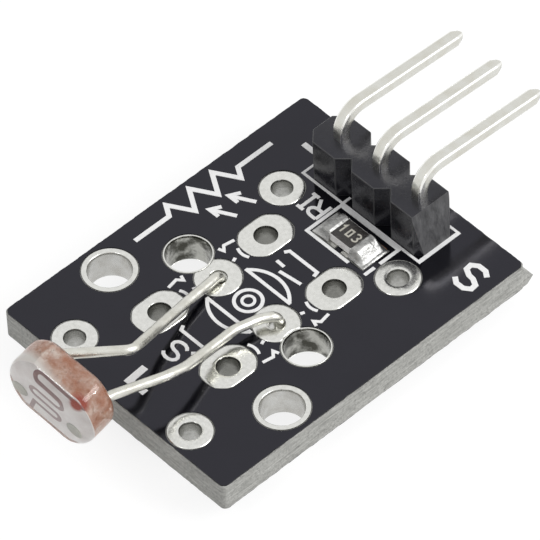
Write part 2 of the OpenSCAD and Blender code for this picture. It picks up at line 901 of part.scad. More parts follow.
// Half section of the resin: half across, and front to back, with round edges
module resin_section(half) {
    front = -resin_t / 2;
    back = resin_t / 2;
    translate([0, front + resin_front_r])
        square([half, resin_t - resin_front_r - resin_back_r]);
    translate([0, front])
        square([half - resin_front_r, resin_t - resin_back_r]);
    translate([0, front])
        square([half - resin_back_r, resin_t]);
    translate([half - resin_front_r, front + resin_front_r])
        circle(resin_front_r);
    translate([half - resin_back_r, back - resin_back_r])
        circle(resin_back_r);
}

module resin_body() {
    intersection() {
        rotate([-90, 0, 0])
            rotate_extrude()
                resin_section(resin_w / 2);
        framed([0, 0, 1], [0, 1, 0], [-1, 0, 0], [0, 0, 0])
            linear_extrude(2 * resin_w, center = true) {
                resin_section(resin_h / 2);
                mirror([1, 0])
                    resin_section(resin_h / 2);
            }
    }
}

function lead_at(s, y) = [lead_shift + s * lead_spacing / 2 * cos(lead_tilt), y,
                          -lead_drop + s * lead_spacing / 2 * sin(lead_tilt)];

// Lead in the sensor's own frame: its head, then its way through the disc
module lead_core(s) {
    translate(lead_at(s, film_y))
        rotate([90, 0, 0])
            cylinder(d = lead_head_d, h = lead_head_h);
    translate(lead_at(s, film_y))
        rotate([-90, 0, 0])
            cylinder(d = lead_d, h = resin_back_y - film_y);
}

module disc() {
    on_face(face_y + ceramic_t, ceramic_t)
        flatted_circle(ceramic_w, ceramic_h);
}

module sensor_ceramic() {
    color(ceramic_color)
        sensor_at()
            difference() {
                disc();
                for (s = sides) lead_core(s);
            }
}

// Path of the track over the face: five runs with round bends, from the upper right edge to the lower flat
track_lines = [2, 1, 0, -1, -2] * sensor_track_pitch;
track_half = sensor_track_run / 2;
track_bend_r = sensor_track_pitch / 2;
function left_bend(i) = arc([-track_half, track_lines[i] - track_bend_r], track_bend_r, track_bend_r, 90, 270);
function right_bend(i) = arc([track_half, track_lines[i] - track_bend_r], track_bend_r, track_bend_r, 90, -90);
function on_track(points) = [for (p = points)
    [sensor_track_x + p.x * cos(sensor_track_turn) - p.y * sin(sensor_track_turn),
     sensor_track_z + p.x * sin(sensor_track_turn) + p.y * cos(sensor_track_turn)]];
track_path = on_track(concat([[resin_w, track_lines[0]]], left_bend(0), right_bend(1), left_bend(2),
                             right_bend(3), [[-track_half, track_lines[4]],
                                             [-track_half - track_bend_r, -resin_h]]));

module face_outline() {
    flatted_circle(ceramic_w, ceramic_h);
}

// The part of the face on the upper left of the track
module left_share() {
    polygon(concat(track_path, [[-resin_w, -resin_h], [-resin_w, resin_h], [resin_w, resin_h]]));
}

module sensor_track() {
    color(track_color)
        sensor_at()
            on_face(face_y, face_film_t)
                intersection() {
                    line(track_path, sensor_track_w);
                    face_outline();
                }
}

module electrode_film(s) {
    color(electrode_color)
        sensor_at()
            on_face(face_y, face_film_t)
                difference() {
                    if (s < 0)
                        intersection() {
                            face_outline();
                            left_share();
                        }
                    else
                        difference() {
                            face_outline();
                            left_share();
                        }
                    line(track_path, sensor_track_w);
                    translate([lead_at(s, 0).x, lead_at(s, 0).z])
                        circle(d = lead_d);
                }
}

module resin_coat() {
    color(resin_color)
        sensor_at()
            difference() {
                resin_body();
                disc();
                on_face(face_y, face_film_t)
                    face_outline();
                for (s = sides) lead_core(s);
            }
}

// Leads: from the tail below the board, up through the pad, over the board and into the disc

function lead_route(s, lean, over_board) =
    let (foot = [s * lead_pad_x + lean.x, lead_pad_y + lean.y, top_z])
    let (exit = from_sensor(lead_at(s, resin_back_y + lead_stub + lead_bend_r)))
    concat([[foot.x, foot.y, -tail_l]], [for (p = over_board) foot + p],
           [exit, from_sensor(lead_at(s, film_y - lead_head_h / 2))]);

// Points of each lead, from where it comes out of its hole
left_over_board = [[0, 0, 0.32], [0.42, -2.49, 0.7], [0.95, -4.61, 1.22], [1.75, -6.8, 2.15]];
right_over_board = [[0, 0, 0.45], [-0.38, -0.69, 0.53], [-0.61, -2.11, 0.72], [-0.38, -4, 1.02],
                    [-0.05, -5.6, 1.48], [-0.03, -6.75, 1.85]];

module lead(s, lean, over_board) {
    color(tin_color) {
        bent_wire(lead_route(s, lean, over_board), lead_d, lead_bend_r);
        sensor_at()
            translate(lead_at(s, film_y))
                rotate([90, 0, 0])
                    cylinder(d = lead_head_d, h = lead_head_h);
    }
}

circuit_board();
top_solder_mask();
bottom_solder_mask();
legend_print();
mounting_hole_plating(0);  // left_mounting_hole_plating
mounting_hole_plating(1);  // right_mounting_hole_plating
large_hole_plating(0);  // left_large_hole_plating
large_hole_plating(1);  // right_large_hole_plating
lead_pad(0);  // left_lead_pad
lead_pad(1);  // right_lead_pad
round_pad(0);  // front_left_round_pad
round_pad(1);  // front_right_round_pad
round_pad(2);  // rear_left_round_pad
round_pad(3);  // rear_right_round_pad
oblong_pad(0);  // front_left_oblong_pad
oblong_pad(1);  // front_right_oblong_pad
oblong_pad(2);  // rear_left_oblong_pad
oblong_pad(3);  // rear_right_oblong_pad
pin_pad(0);  // ground_pin_pad
pin_pad(1);  // supply_pin_pad
pin_pad(2);  // signal_pin_pad
resistor_pad(0);  // left_resistor_pad
resistor_pad(1);  // right_resistor_pad
ground_track();
supply_track();
signal_track();
resistor_ceramic();
resistor_terminal(left_side);  // left_resistor_terminal
resistor_terminal(right_side);  // right_resistor_terminal
resistor_coating();
resistor_marking();
resistor_solder(left_side);  // left_resistor_solder
resistor_solder(right_side);  // right_resistor_solder
header_housing();
header_pin(ground_x);  // ground_pin
header_pin(supply_x);  // supply_pin
header_pin(signal_x);  // signal_pin
pin_solder(0);  // ground_pin_solder
pin_solder(1);  // supply_pin_solder
pin_solder(2);  // signal_pin_solder
sensor_ceramic();
sensor_track();
electrode_film(left_side);  // left_electrode
electrode_film(right_side);  // right_electrode
resin_coat();
lead(left_side, lead_leans[0], left_over_board);  // left_lead
lead(right_side, lead_leans[1], right_over_board);  // right_lead
lead_solder(0);  // left_lead_solder
lead_solder(1);  // right_lead_solder
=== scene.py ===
"""Looks of the photoresistor module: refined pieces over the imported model, materials, light and camera."""
import math

import bmesh
import bpy
from mathutils import Euler, Matrix, Vector, noise


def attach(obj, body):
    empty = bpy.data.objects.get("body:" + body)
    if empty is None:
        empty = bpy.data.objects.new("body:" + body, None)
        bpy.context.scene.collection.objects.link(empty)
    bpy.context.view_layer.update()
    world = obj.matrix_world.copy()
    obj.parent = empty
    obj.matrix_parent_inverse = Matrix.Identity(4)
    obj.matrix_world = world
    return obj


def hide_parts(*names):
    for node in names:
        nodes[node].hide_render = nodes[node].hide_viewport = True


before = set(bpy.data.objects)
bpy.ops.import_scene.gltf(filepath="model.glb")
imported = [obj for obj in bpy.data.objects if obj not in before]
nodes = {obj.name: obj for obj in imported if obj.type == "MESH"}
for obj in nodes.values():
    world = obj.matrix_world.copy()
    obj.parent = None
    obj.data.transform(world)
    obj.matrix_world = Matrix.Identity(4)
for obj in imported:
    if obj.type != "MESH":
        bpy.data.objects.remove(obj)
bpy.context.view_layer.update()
MM = 0.001
WELD = 1e-7
BODY = "root"
SIDES = (("left", -1), ("right", 1))

# Sizes of the board, in millimetres
BOARD_W = 14.5
BOARD_L = 18.5
BOARD_T = 1.6
BOARD_CORNER_R = 0.3
LAYOUT_ROWS = 29.134
ROW = BOARD_L / LAYOUT_ROWS
FRONT_Y = -7.874 * ROW
REAR_Y = FRONT_Y + BOARD_L
MIDDLE_Y = (FRONT_Y + REAR_Y) / 2
FRONT_ROUND_Y = -6 * ROW
LEAD_PAD_Y = 5 * ROW
OBLONG_DY = 5.118 * ROW
CHIP_Y = 14 * ROW
HEADER_Y = 18 * ROW
FILM = 0.06
MASK_GAP = 0.05
MASK_INSET = 0.015
MASK_RAGGED = 0.025
PLATING = 0.05

# Sizes of the holes and pads
MOUNT_X = 5.68
MOUNT_HOLE_R = 1.025
MOUNT_RING_R = 1.3
LEAD_PAD_X = 1.905
LEAD_PAD_R = 1.1
LEAD_HOLE_R = 0.4
LARGE_WEB = 0.425
LARGE_HOLE_R = 1.06
LARGE_RIM_R = 1.16
LARGE_X = LEAD_PAD_X + LEAD_HOLE_R + LARGE_WEB + LARGE_RIM_R
RIM_GAP = 0.01
ROUND_X = 3.81
ROUND_PAD_R = 1.05
ROUND_HOLE_R = 0.5
OBLONG_X = 2.25
OBLONG_HALF_W = 1.025
OBLONG_HALF_L = 1.325
OBLONG_CUT = 0.52
OBLONG_EASE = 0.45
OBLONG_ROUNDING = 0.55
OBLONG_HOLE_R = 0.54
PIN_PAD_R = 0.85
PIN_HOLE_R = 0.55

# Sizes of the header
PITCH = 2.54
TAIL = 1.2
PIN = 0.6
PIN_RISE = 4.0
PIN_REACH = 7.55
PIN_BEND_R = 1.1
PIN_BEND = math.radians(93)
PIN_POINT = 0.45
PIN_END = 0.28
PIN_NOSE = 0.03
PIN_FOOT = 0.1
PIN_BLUNT = 0.86
HEADER_SHIFT = 0.1
HOUSING_D = 2.3
HOUSING_H = 2.54
HOUSING_CUT = 0.55
HOUSING_BEVEL = 0.07
SHEAR_TOP = 0.6
SHEAR_BOTTOM = 0.2

# Sizes of the chip resistor
CHIP_X = 0.7
CHIP_L = 2.0
CHIP_W = 1.25
CHIP_H = 0.5
TERMINAL = 0.35
CHIP_PAD_DX = 1.86
CHIP_PAD_L = 1.45
CHIP_PAD_W = 1.6

# Sizes of the sensor and its leads
RESIN_W = 4.95
RESIN_H = 4.05
RESIN_T = 1.9
RESIN_FRONT_R = 0.4
RESIN_BACK_R = 0.45
CERAMIC_T = 1.25
CERAMIC_SHIFT = 0.17
FACE_FILM_T = 0.04
FILM_Y = CERAMIC_SHIFT - CERAMIC_T / 2 - FACE_FILM_T
LEAD_D = 0.5
LEAD_BEND_R = 0.4
LEAD_STUB = 0.05
LEAD_SPACING = 3.2
LEAD_SHIFT = -0.08
LEAD_DROP = 0.68
LEAD_TILT = math.radians(6)
LEAD_SNIP = 0.08
HEAD_R = 0.45
HEAD_H = 0.15
SENSOR_X = -0.14
SENSOR_OUT = 2.69
SENSOR_UP = 2.6
SENSOR_TIP = 8.5
SENSOR_ROLL = 15
SENSOR_YAW = 7

sensor_place = Matrix.Translation(Vector((SENSOR_X, FRONT_Y - SENSOR_OUT, BOARD_T + SENSOR_UP)))
sensor_turn = Euler([math.radians(a) for a in (SENSOR_TIP, SENSOR_ROLL, SENSOR_YAW)], "XYZ")
SENSOR = sensor_place @ sensor_turn.to_matrix().to_4x4()


def from_sensor(x, y, z):
    return SENSOR @ Vector((x, y, z))


def lead_at(side, y, dx=0.0, dz=0.0):
    """A point of a lead's axis in the disc, or beside it."""
    half = side * LEAD_SPACING / 2
    x = LEAD_SHIFT + half * math.cos(LEAD_TILT)
    z = half * math.sin(LEAD_TILT) - LEAD_DROP
    return from_sensor(x + dx, y, z + dz)


# Materials

class Look:
    """A procedural material: one shader and the nodes that vary it."""

    def __init__(self, name, color, roughness, metallic=0.0):
        self.material = bpy.data.materials.new(name)
        self.material.use_nodes = True
        self.tree = self.material.node_tree
        self.shader = self.tree.nodes["Principled BSDF"]
        self.set("Base Color", (*color, 1))
        self.set("Roughness", roughness)
        self.set("Metallic", metallic)
        self.place = self.add("ShaderNodeTexCoord").outputs["Object"]

    def set(self, socket, value):
        self.shader.inputs[socket].default_value = value

    def add(self, kind):
        return self.tree.nodes.new(kind)

    def link(self, output, target):
        self.tree.links.new(output, target)

    def noise(self, feature, stretch=(1, 1, 1), detail=4.0, rough=0.55):
        """Noise whose features are about the given millimetres wide, times the stretch."""
        mapping = self.add("ShaderNodeMapping")
        mapping.inputs["Scale"].default_value = [1 / (feature * MM * s) for s in stretch]
        self.link(self.place, mapping.inputs["Vector"])
        texture = self.add("ShaderNodeTexNoise")
        texture.inputs["Scale"].default_value = 1
        texture.inputs["Detail"].default_value = detail
        texture.inputs["Roughness"].default_value = rough
        self.link(mapping.outputs["Vector"], texture.inputs["Vector"])
        return texture.outputs["Fac"]

    def spot(self, centre, radius):
        """One at a point in millimetres, falling to zero at the radius."""
        distance = self.add("ShaderNodeVectorMath")
        distance.operation = "DISTANCE"
        distance.inputs[1].default_value = [c * MM for c in centre]
        self.link(self.place, distance.inputs[0])
        fade = self.add("ShaderNodeMapRange")
        fade.interpolation_type = "SMOOTHSTEP"
        fade.inputs["From Min"].default_value = 0
        fade.inputs["From Max"].default_value = radius * MM
        fade.inputs["To Min"].default_value = 1
        fade.inputs["To Max"].default_value = 0
        self.link(distance.outputs["Value"], fade.inputs["Value"])
        return fade.outputs["Result"]

    def along(self, start, end):
        """Zero at one point in millimetres, rising to one at another."""
        way = end - start
        offset = self.add("ShaderNodeVectorMath")
        offset.operation = "SUBTRACT"
        offset.inputs[1].default_value = start * MM
        self.link(self.place, offset.inputs[0])
        reach = self.add("ShaderNodeVectorMath")
        reach.operation = "DOT_PRODUCT"
        reach.inputs[1].default_value = way / (way.length_squared * MM)
        self.link(offset.outputs["Vector"], reach.inputs[0])
        return self.span(reach.outputs["Value"], 0, 1, 0, 1)

    def ramp(self, factor, *stops):
        """Colours along a factor, from stops of place and colour."""
        node = self.add("ShaderNodeValToRGB")
        elements = node.color_ramp.elements
        for i, (place, color) in enumerate(stops):
            element = elements[i] if i < 2 else elements.new(place)
            element.position = place
            element.color = (*color, 1)
        self.link(factor, node.inputs["Fac"])
        return node.outputs["Color"]

    def span(self, factor, low, high, start=0.3, end=0.7):
        """Low to high as the factor goes from start to end."""
        node = self.add("ShaderNodeMapRange")
        for key, value in (("From Min", start), ("From Max", end), ("To Min", low), ("To Max", high)):
            node.inputs[key].default_value = value
        self.link(factor, node.inputs["Value"])
        return node.outputs["Result"]

    def mix(self, factor, first, second):
        """From the first colour to the second; each is a colour or an output."""
        node = self.add("ShaderNodeMix")
        node.data_type = "RGBA"
        self.link(factor, node.inputs["Factor"])
        for socket, value in (("A", first), ("B", second)):
            target = next(s for s in node.inputs if s.name == socket and s.type == "RGBA")
            if isinstance(value, tuple):
                target.default_value = (*value, 1)
            else:
                self.link(value, target)
        return next(s for s in node.outputs if s.type == "RGBA")

    def color(self, output):
        self.link(output, self.shader.inputs["Base Color"])

    def rough(self, factor, low, high):
        self.link(self.span(factor, low, high), self.shader.inputs["Roughness"])

    def bump(self, height, depth):
        """Relief of about the given millimetres."""
        node = self.add("ShaderNodeBump")
        node.inputs["Strength"].default_value = 1
        node.inputs["Distance"].default_value = depth * MM
        self.link(height, node.inputs["Height"])
        self.link(node.outputs["Normal"], self.shader.inputs["Normal"])


def make_mask_look():
    look = Look("solder_mask", (0.002, 0.002, 0.003), 0.12)
    look.set("Specular IOR Level", 0.45)
    look.set("Specular Tint", (0.84, 0.83, 1, 1))
    cloud = look.noise(2.5)
    look.color(look.ramp(cloud, (0.35, (0.0012, 0.0012, 0.002)), (0.7, (0.003, 0.003, 0.0045))))
    look.rough(cloud, 0.09, 0.15)
    look.bump(look.noise(0.8, detail=2), 0.002)
    return look.material


def make_laminate_look():
    look = Look("cut_laminate", (0.5, 0.5, 0.47), 0.65)
    layers = look.noise(0.1, (14, 14, 1), detail=5, rough=0.7)
    grain = look.noise(0.12, detail=5, rough=0.75)
    streaks = look.ramp(layers, (0.3, (0.17, 0.17, 0.16)), (0.5, (0.42, 0.42, 0.395)),
                        (0.72, (0.74, 0.74, 0.71)))
    specks = look.ramp(grain, (0.32, (0.14, 0.14, 0.13)), (0.55, (0.56, 0.56, 0.53)))
    look.color(look.mix(look.span(look.noise(0.5), 0.2, 0.75), streaks, specks))
    look.bump(grain, 0.06)
    return look.material


def make_metal_look(name, color, warm, rough, feature=0.5, relief=0.008, spread=(0.35, 0.75)):
    look = Look(name, color, rough[0], 1.0)
    cloud = look.noise(feature)
    look.color(look.ramp(cloud, (spread[0], color), (spread[1], warm)))
    look.rough(look.noise(feature * 0.6), *rough)
    look.bump(look.noise(feature * 0.5, detail=3), relief)
    return look.material


def make_plastic_look():
    look = Look("header_plastic", (0.008, 0.008, 0.01), 0.24)
    look.set("Specular Tint", (0.9, 0.9, 1, 1))
    cloud = look.noise(0.7)
    look.color(look.ramp(cloud, (0.35, (0.005, 0.005, 0.007)), (0.75, (0.014, 0.014, 0.017))))
    look.rough(look.noise(0.35), 0.17, 0.3)
    look.bump(look.noise(0.16, detail=6), 0.008)
    return look.material


def make_torn_look():
    look = Look("torn_plastic", (0.02, 0.02, 0.022), 0.5)
    cloud = look.noise(0.35, (1, 1, 2.5), detail=6, rough=0.7)
    look.color(look.ramp(cloud, (0.35, (0.03, 0.03, 0.032)), (0.7, (0.12, 0.12, 0.124))))
    look.rough(cloud, 0.35, 0.6)
    look.bump(cloud, 0.05)
    return look.material


def make_print_look():
    look = Look("white_print", (0.8, 0.8, 0.8), 0.5)
    cloud = look.noise(0.18, detail=5, rough=0.7)
    look.color(look.ramp(cloud, (0.22, (0.6, 0.6, 0.62)), (0.42, (0.87, 0.87, 0.87)),
                         (0.8, (0.94, 0.94, 0.94))))
    look.bump(cloud, 0.006)
    return look.material


def make_plain_look(name, first, second, feature, rough):
    look = Look(name, first, rough[0])
    cloud = look.noise(feature)
    look.color(look.ramp(cloud, (0.35, first), (0.7, second)))
    look.rough(look.noise(feature * 0.5), *rough)
    look.bump(look.noise(feature * 0.4), 0.004)
    return look.material


RED_PATCH = (0.3, 0.025, 0.0)
RIM_PATCH_AT = from_sensor(1.3, -0.5, 1.5)
RIM_PATCH_R = 0.7
FACE_PATCH_AT = from_sensor(1.25, -0.5, 1.42)
FACE_PATCH_R = 0.46


def make_disc_look():
    """Ceramic whose rim is mottled by the sprayed film, with one dark red patch."""
    look = Look("sensor_ceramic", (0.6, 0.48, 0.42), 0.55)
    cloud = look.noise(0.55, detail=6, rough=0.65)
    mottled = look.ramp(cloud, (0.3, (0.68, 0.6, 0.54)), (0.45, (0.5, 0.32, 0.245)),
                        (0.62, (0.38, 0.15, 0.075)))
    behind = look.along(from_sensor(0, -0.6, 0), from_sensor(0.08, -0.2, 0))
    specks = look.span(look.noise(0.16, detail=4, rough=0.7), 0, 0.6, 0.54, 0.7)
    stained = look.mix(behind, (0.68, 0.66, 0.63), look.mix(specks, mottled, (0.16, 0.05, 0.025)))
    patch = look.span(look.spot(RIM_PATCH_AT, RIM_PATCH_R), 0, 1, 0.1, 0.6)
    look.color(look.mix(patch, stained, RED_PATCH))
    look.bump(look.noise(0.15), 0.012)
    return look.material


def make_face_look(name, color, first, second, feature, rough, grain):
    """A film on the disc's face, reddened where the patch of the rim reaches over its edge."""
    look = Look(name, color, rough[0])
    plain = look.ramp(look.noise(feature), (0.35, first), (0.7, second))
    patch = look.span(look.spot(FACE_PATCH_AT, FACE_PATCH_R), 0, 1, 0.05, 0.55)
    look.color(look.mix(patch, plain, RED_PATCH))
    look.rough(look.noise(feature * 0.5), *rough)
    look.bump(look.noise(grain), 0.004)
    return look.material


def make_resin_look():
    look = Look("clear_resin", (1, 0.985, 0.97), 0.04)
    look.set("Transmission Weight", 1.0)
    look.set("Specular IOR Level", 0.25)
    look.set("IOR", 1.48)
    look.bump(look.noise(0.9, detail=2), 0.012)
    return look.material


mask_look = make_mask_look()
laminate_look = make_laminate_look()
tin_look = make_metal_look(
    "tin_plating", (0.74, 0.74, 0.71), (0.62, 0.62, 0.59), (0.18, 0.3), feature=0.2, relief=0.004)
# The hole walls are copies of the plating made darker as painted shade: a little in the mount holes, more in
# the round pads' holes, most in the lead, oblong and pin holes.
bright_barrel = make_metal_look("bright_barrel", (0.56, 0.56, 0.54), (0.44, 0.43, 0.4), (0.2, 0.34))
# The large holes' walls: painted shade and painted reflections as a dark and light mottle.
shaded_mottled_barrel = make_metal_look(
    "shaded_mottled_barrel", (0.42, 0.42, 0.39), (0.06, 0.06, 0.05), (0.1, 0.22), feature=0.8, relief=0.05,
    spread=(0.42, 0.6))
small_barrel = make_metal_look(
    "small_barrel", (0.5, 0.5, 0.48), (0.36, 0.36, 0.34), (0.2, 0.36), feature=0.3)
deep_shade_barrel = make_metal_look("deep_shade_barrel", (0.28, 0.28, 0.26), (0.2, 0.2, 0.185), (0.2, 0.36))
wire_look = make_metal_look(
    "lead_wire", (0.68, 0.675, 0.625), (0.56, 0.55, 0.49), (0.24, 0.38), relief=0.006)
pin_look = make_metal_look(
    "pin_metal", (0.68, 0.68, 0.64), (0.6, 0.585, 0.52), (0.2, 0.34), feature=0.7)
# A brighter copy of the pin metal for the pins' rounded corners: a painted highlight along their edges.
edge_highlight_look = make_metal_look("pin_edge_painted_highlight", (0.9, 0.9, 0.87), (0.84, 0.83, 0.79), (0.16, 0.28))
solder_look = make_metal_look(
    "bright_solder", (0.7, 0.7, 0.68), (0.56, 0.56, 0.54), (0.2, 0.34), relief=0.012)
chip_solder_look = make_metal_look(
    "chip_solder", (0.5, 0.5, 0.49), (0.3, 0.3, 0.29), (0.34, 0.5), feature=0.3, relief=0.03)
glue_look = make_metal_look(
    "conductive_glue", (0.36, 0.36, 0.31), (0.24, 0.24, 0.19), (0.4, 0.55), feature=0.25, relief=0.02)
copper_look = make_metal_look("copper", (0.7, 0.4, 0.26), (0.6, 0.33, 0.2), (0.3, 0.45))
plastic_look = make_plastic_look()
torn_look = make_torn_look()
# A lighter copy of the plastic for the housing's bevelled edges: a painted highlight along them.
bevel_highlight_look = make_plain_look(
    "plastic_bevel_painted_highlight", (0.035, 0.035, 0.038), (0.06, 0.06, 0.064), 0.3, (0.3, 0.45))
print_look = make_print_look()
alumina_look = make_plain_look("alumina", (0.86, 0.85, 0.84), (0.76, 0.74, 0.73), 0.3, (0.4, 0.55))
glaze_look = make_plain_look(
    "dark_glaze", (0.018, 0.016, 0.015), (0.035, 0.03, 0.028), 0.3, (0.2, 0.34))
value_look = make_plain_look("value_print", (0.62, 0.6, 0.53), (0.5, 0.48, 0.42), 0.1, (0.45, 0.6))
film_look = make_face_look(
    "sensor_film", (0.24, 0.145, 0.14), (0.2, 0.115, 0.115), (0.29, 0.18, 0.17), 0.25, (0.5, 0.65), 0.1)
electrode_look = make_face_look(
    "electrode_film", (0.7, 0.67, 0.66), (0.74, 0.72, 0.71), (0.64, 0.6, 0.59), 0.5, (0.35, 0.5), 0.2)
disc_look = make_disc_look()
resin_look = make_resin_look()

for name, look in {
    "ground_track": copper_look, "supply_track": copper_look, "signal_track": copper_look,
    "resistor_ceramic": alumina_look, "resistor_coating": glaze_look, "resistor_marking": value_look,
    "left_resistor_terminal": tin_look, "right_resistor_terminal": tin_look,
    "left_resistor_pad": tin_look, "right_resistor_pad": tin_look,
    "sensor_ceramic": disc_look, "sensor_track": film_look,
    "left_electrode": electrode_look, "right_electrode": electrode_look,
    "circuit_board": laminate_look, "legend_print": print_look,
}.items():
    nodes[name].data.materials.clear()
    nodes[name].data.materials.append(look)


# Mesh building

SHARP = math.radians(40)
BEND_SHARE = 0.48


def wobble(x, y, z, seed):
    return noise.noise(Vector((x + seed, y - seed, z + 2 * seed)))


def add_piece(name, mesh, replaced):
    """Puts a mesh into the scene, standing for CAD nodes."""
    obj = bpy.data.objects.new(name, mesh)
    bpy.context.scene.collection.objects.link(obj)
    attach(obj, BODY)
    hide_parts(*replaced)


def piece(name, vertices, faces, looks, replaced, smooth=True, face_looks=None):
    """A piece of the object from vertices in millimetres, with one look or a look for each face."""
    mesh = bpy.data.meshes.new(name)
    mesh.from_pydata([Vector(v) * MM for v in vertices], [], faces)
    for look in looks:
        mesh.materials.append(look)
    if face_looks:
        mesh.polygons.foreach_set("material_index", face_looks)
    welded = bmesh.new()
    welded.from_mesh(mesh)
    bmesh.ops.remove_doubles(welded, verts=welded.verts, dist=WELD)
    bmesh.ops.recalc_face_normals(welded, faces=welded.faces)
    welded.to_mesh(mesh)
    welded.free()
    if smooth:
        mesh.shade_smooth()
        mesh.set_sharp_from_angle(angle=SHARP)
    add_piece(name, mesh, replaced)


class Shape:
    """Vertices and faces gathered from several surfaces."""

    def __init__(self):
        self.vertices = []
        self.faces = []
        self.looks = []

    def grid(self, rows, close_rows=False, close_columns=False, look=0):
        """Quads over rows of points, each row as long as the others."""
        base = len(self.vertices)
        count, width = len(rows), len(rows[0])
        for row in rows:
            self.vertices.extend(row)
        for i in range(count if close_rows else count - 1):
            for j in range(width if close_columns else width - 1):
                a = base + i * width + j
                b = base + i * width + (j + 1) % width
                c = base + (i + 1) % count * width + (j + 1) % width
                d = base + (i + 1) % count * width + j
                self.faces.append((a, b, c, d))
                self.looks.append(look)

    def cap(self, row, look=0):
        """A fan over a closed row of points."""
        base = len(self.vertices)
        middle = sum((Vector(p) for p in row), Vector()) / len(row)
        self.vertices.extend(row)
        self.vertices.append(middle)
        for j in range(len(row)):
            self.faces.append((base + j, base + (j + 1) % len(row), base + len(row)))
            self.looks.append(look)

    def tube(self, rows, look=0):
        """A closed tube over rings of points, with its ends capped."""
        self.grid(rows, close_columns=True, look=look)
        self.cap(rows[0], look)
        self.cap(rows[-1], look)

    def make(self, name, looks, replaced):
        mixed = self.looks if len(looks) > 1 else None
        piece(name, self.vertices, self.faces, looks, replaced, face_looks=mixed)


def rounded_path(points, bend_r, step):
    """Points along a wire whose corners are rounded, wider where it turns less."""
    points = [Vector(p) for p in points]
    path = [points[0]]
    for before, corner, after in zip(points, points[1:], points[2:]):
        u = (corner - before).normalized()
        v = (after - corner).normalized()
        angle = u.angle(v)
        shorter = min((corner - before).length, (after - corner).length)
        radius = min(bend_r * math.pi / 2 / angle, BEND_SHARE * shorter / math.tan(angle / 2))
        start = corner - u * radius * math.tan(angle / 2)
        inward = (v - u * u.dot(v)).normalized()
        centre = start + inward * radius
        steps = max(3, round(math.degrees(angle) / step))
        for i in range(steps + 1):
            a = angle * i / steps
            path.append(centre - inward * radius * math.cos(a) + u * radius * math.sin(a))
    path.append(points[-1])
    return path


def denser(path, step):
    """The path with more points on its long stretches."""
    out = [path[0]]
    for a, b in zip(path, path[1:]):
        parts = max(1, math.ceil((b - a).length / step))
        out.extend(a.lerp(b, (i + 1) / parts) for i in range(parts))
    return out


def swept(path, section, side):
    """Rings of a section carried along a path; the section gives its points at a distance travelled."""
    rings = []
    normal = Vector(side)
    travelled = 0.0
    for i, p in enumerate(path):
        if i:
            travelled += (p - path[i - 1]).length
        ahead = path[min(i + 1, len(path) - 1)]
        behind = path[max(i - 1, 0)]
        tangent = (ahead - behind).normalized()
        normal = (normal - tangent * normal.dot(tangent)).normalized()
        across = tangent.cross(normal)
        rings.append([p + normal * x + across * y for x, y in section(travelled)])
    return rings


def circle(r, count):
    angles = [2 * math.pi * i / count for i in range(count)]
    return [(r * math.cos(a), r * math.sin(a)) for a in angles]


def lathe(profile, centre, count):
    """Rings of a profile of radius and height about a vertical axis."""
    cx, cy = centre
    return [[Vector((cx + x, cy + y, z)) for x, y in circle(r, count)] for r, z in profile]


# Outlines on the board

FINE_RING = 72
EYE_HOLE_STEPS = 56
EYE_PAD_STEPS = 48
EASE_STEP = 0.14
EASE_DEG = 12
EDGE_STEP = 0.12
EDGE_DEG = 15


def eased(corners, r):
    """A closed outline with small round corners and points along its sides."""
    count = len(corners)
    path = []
    for i in range(count):
        before, corner, after = (Vector((*corners[(i + k) % count], 0)) for k in (-1, 0, 1))
        bend = [corner.lerp(before, 0.5), corner, corner.lerp(after, 0.5)]
        path += rounded_path(bend, r, EASE_DEG)[1:-1]
    path = denser(path + path[:1], EASE_STEP)[:-1]
    return [(p.x, p.y) for p in path]


def oblong_points(centre, grow=0.0):
    """Outline of an oblong pad: a rectangle with its corners cut, drawn in towards round ends."""
    cx, cy = centre
    w, l = OBLONG_HALF_W + grow, OBLONG_HALF_L + grow
    cut = OBLONG_CUT + (2 - math.sqrt(2)) * grow
    right = [(w - cut, -l), (w, cut - l), (w, l - cut), (w - cut, l)]
    points = []
    for x, y in eased(right + [(-x, -y) for x, y in right], OBLONG_EASE):
        past = math.copysign(max(0.0, abs(y) - (l - w)), y)
        shrink = 1 - OBLONG_ROUNDING * max(0.0, 1 - w / math.hypot(x, past))
        points.append((cx + x * shrink, cy + y - past + past * shrink))
    return points


def ring_points(centre, r, count=56):
    return [(centre[0] + x, centre[1] + y) for x, y in circle(r, count)]


def lead_pad_points(side):
    """Outline of a lead pad, cut into by the rim of the large hole beside it."""
    centre = Vector((side * LEAD_PAD_X, LEAD_PAD_Y))
    hole = Vector((side * LARGE_X, LEAD_PAD_Y))
    rim = LARGE_RIM_R + RIM_GAP
    points = []
    for x, y in circle(LEAD_PAD_R, FINE_RING):
        p = centre + Vector((x, y))
        if (p - hole).length < rim:
            ray = Vector((x, y)).normalized()
            reach = ray.dot(hole - centre)
            gap = math.sqrt(max(0.0, rim ** 2 - (hole - centre).length_squared + reach ** 2))
            p = centre + ray * (reach - gap)
        points.append((p.x, p.y))
    return points


mount_places = [(side * MOUNT_X, 0) for _, side in SIDES]
large_places = [(side * LARGE_X, LEAD_PAD_Y) for _, side in SIDES]
lead_places = [(side * LEAD_PAD_X, LEAD_PAD_Y) for _, side in SIDES]
pin_places = [("ground", -PITCH), ("supply", 0), ("signal", PITCH)]
header_places = [(x, HEADER_Y) for _, x in pin_places]
round_places = {
    "front_left": (-ROUND_X, FRONT_ROUND_Y), "front_right": (ROUND_X, FRONT_ROUND_Y),
    "rear_left": (-ROUND_X, CHIP_Y), "rear_right": (ROUND_X, CHIP_Y),
}
oblong_places = {
    "front_left": (-OBLONG_X, LEAD_PAD_Y - OBLONG_DY), "front_right": (OBLONG_X, LEAD_PAD_Y - OBLONG_DY),
    "rear_left": (-OBLONG_X, LEAD_PAD_Y + OBLONG_DY), "rear_right": (OBLONG_X, LEAD_PAD_Y + OBLONG_DY),
}


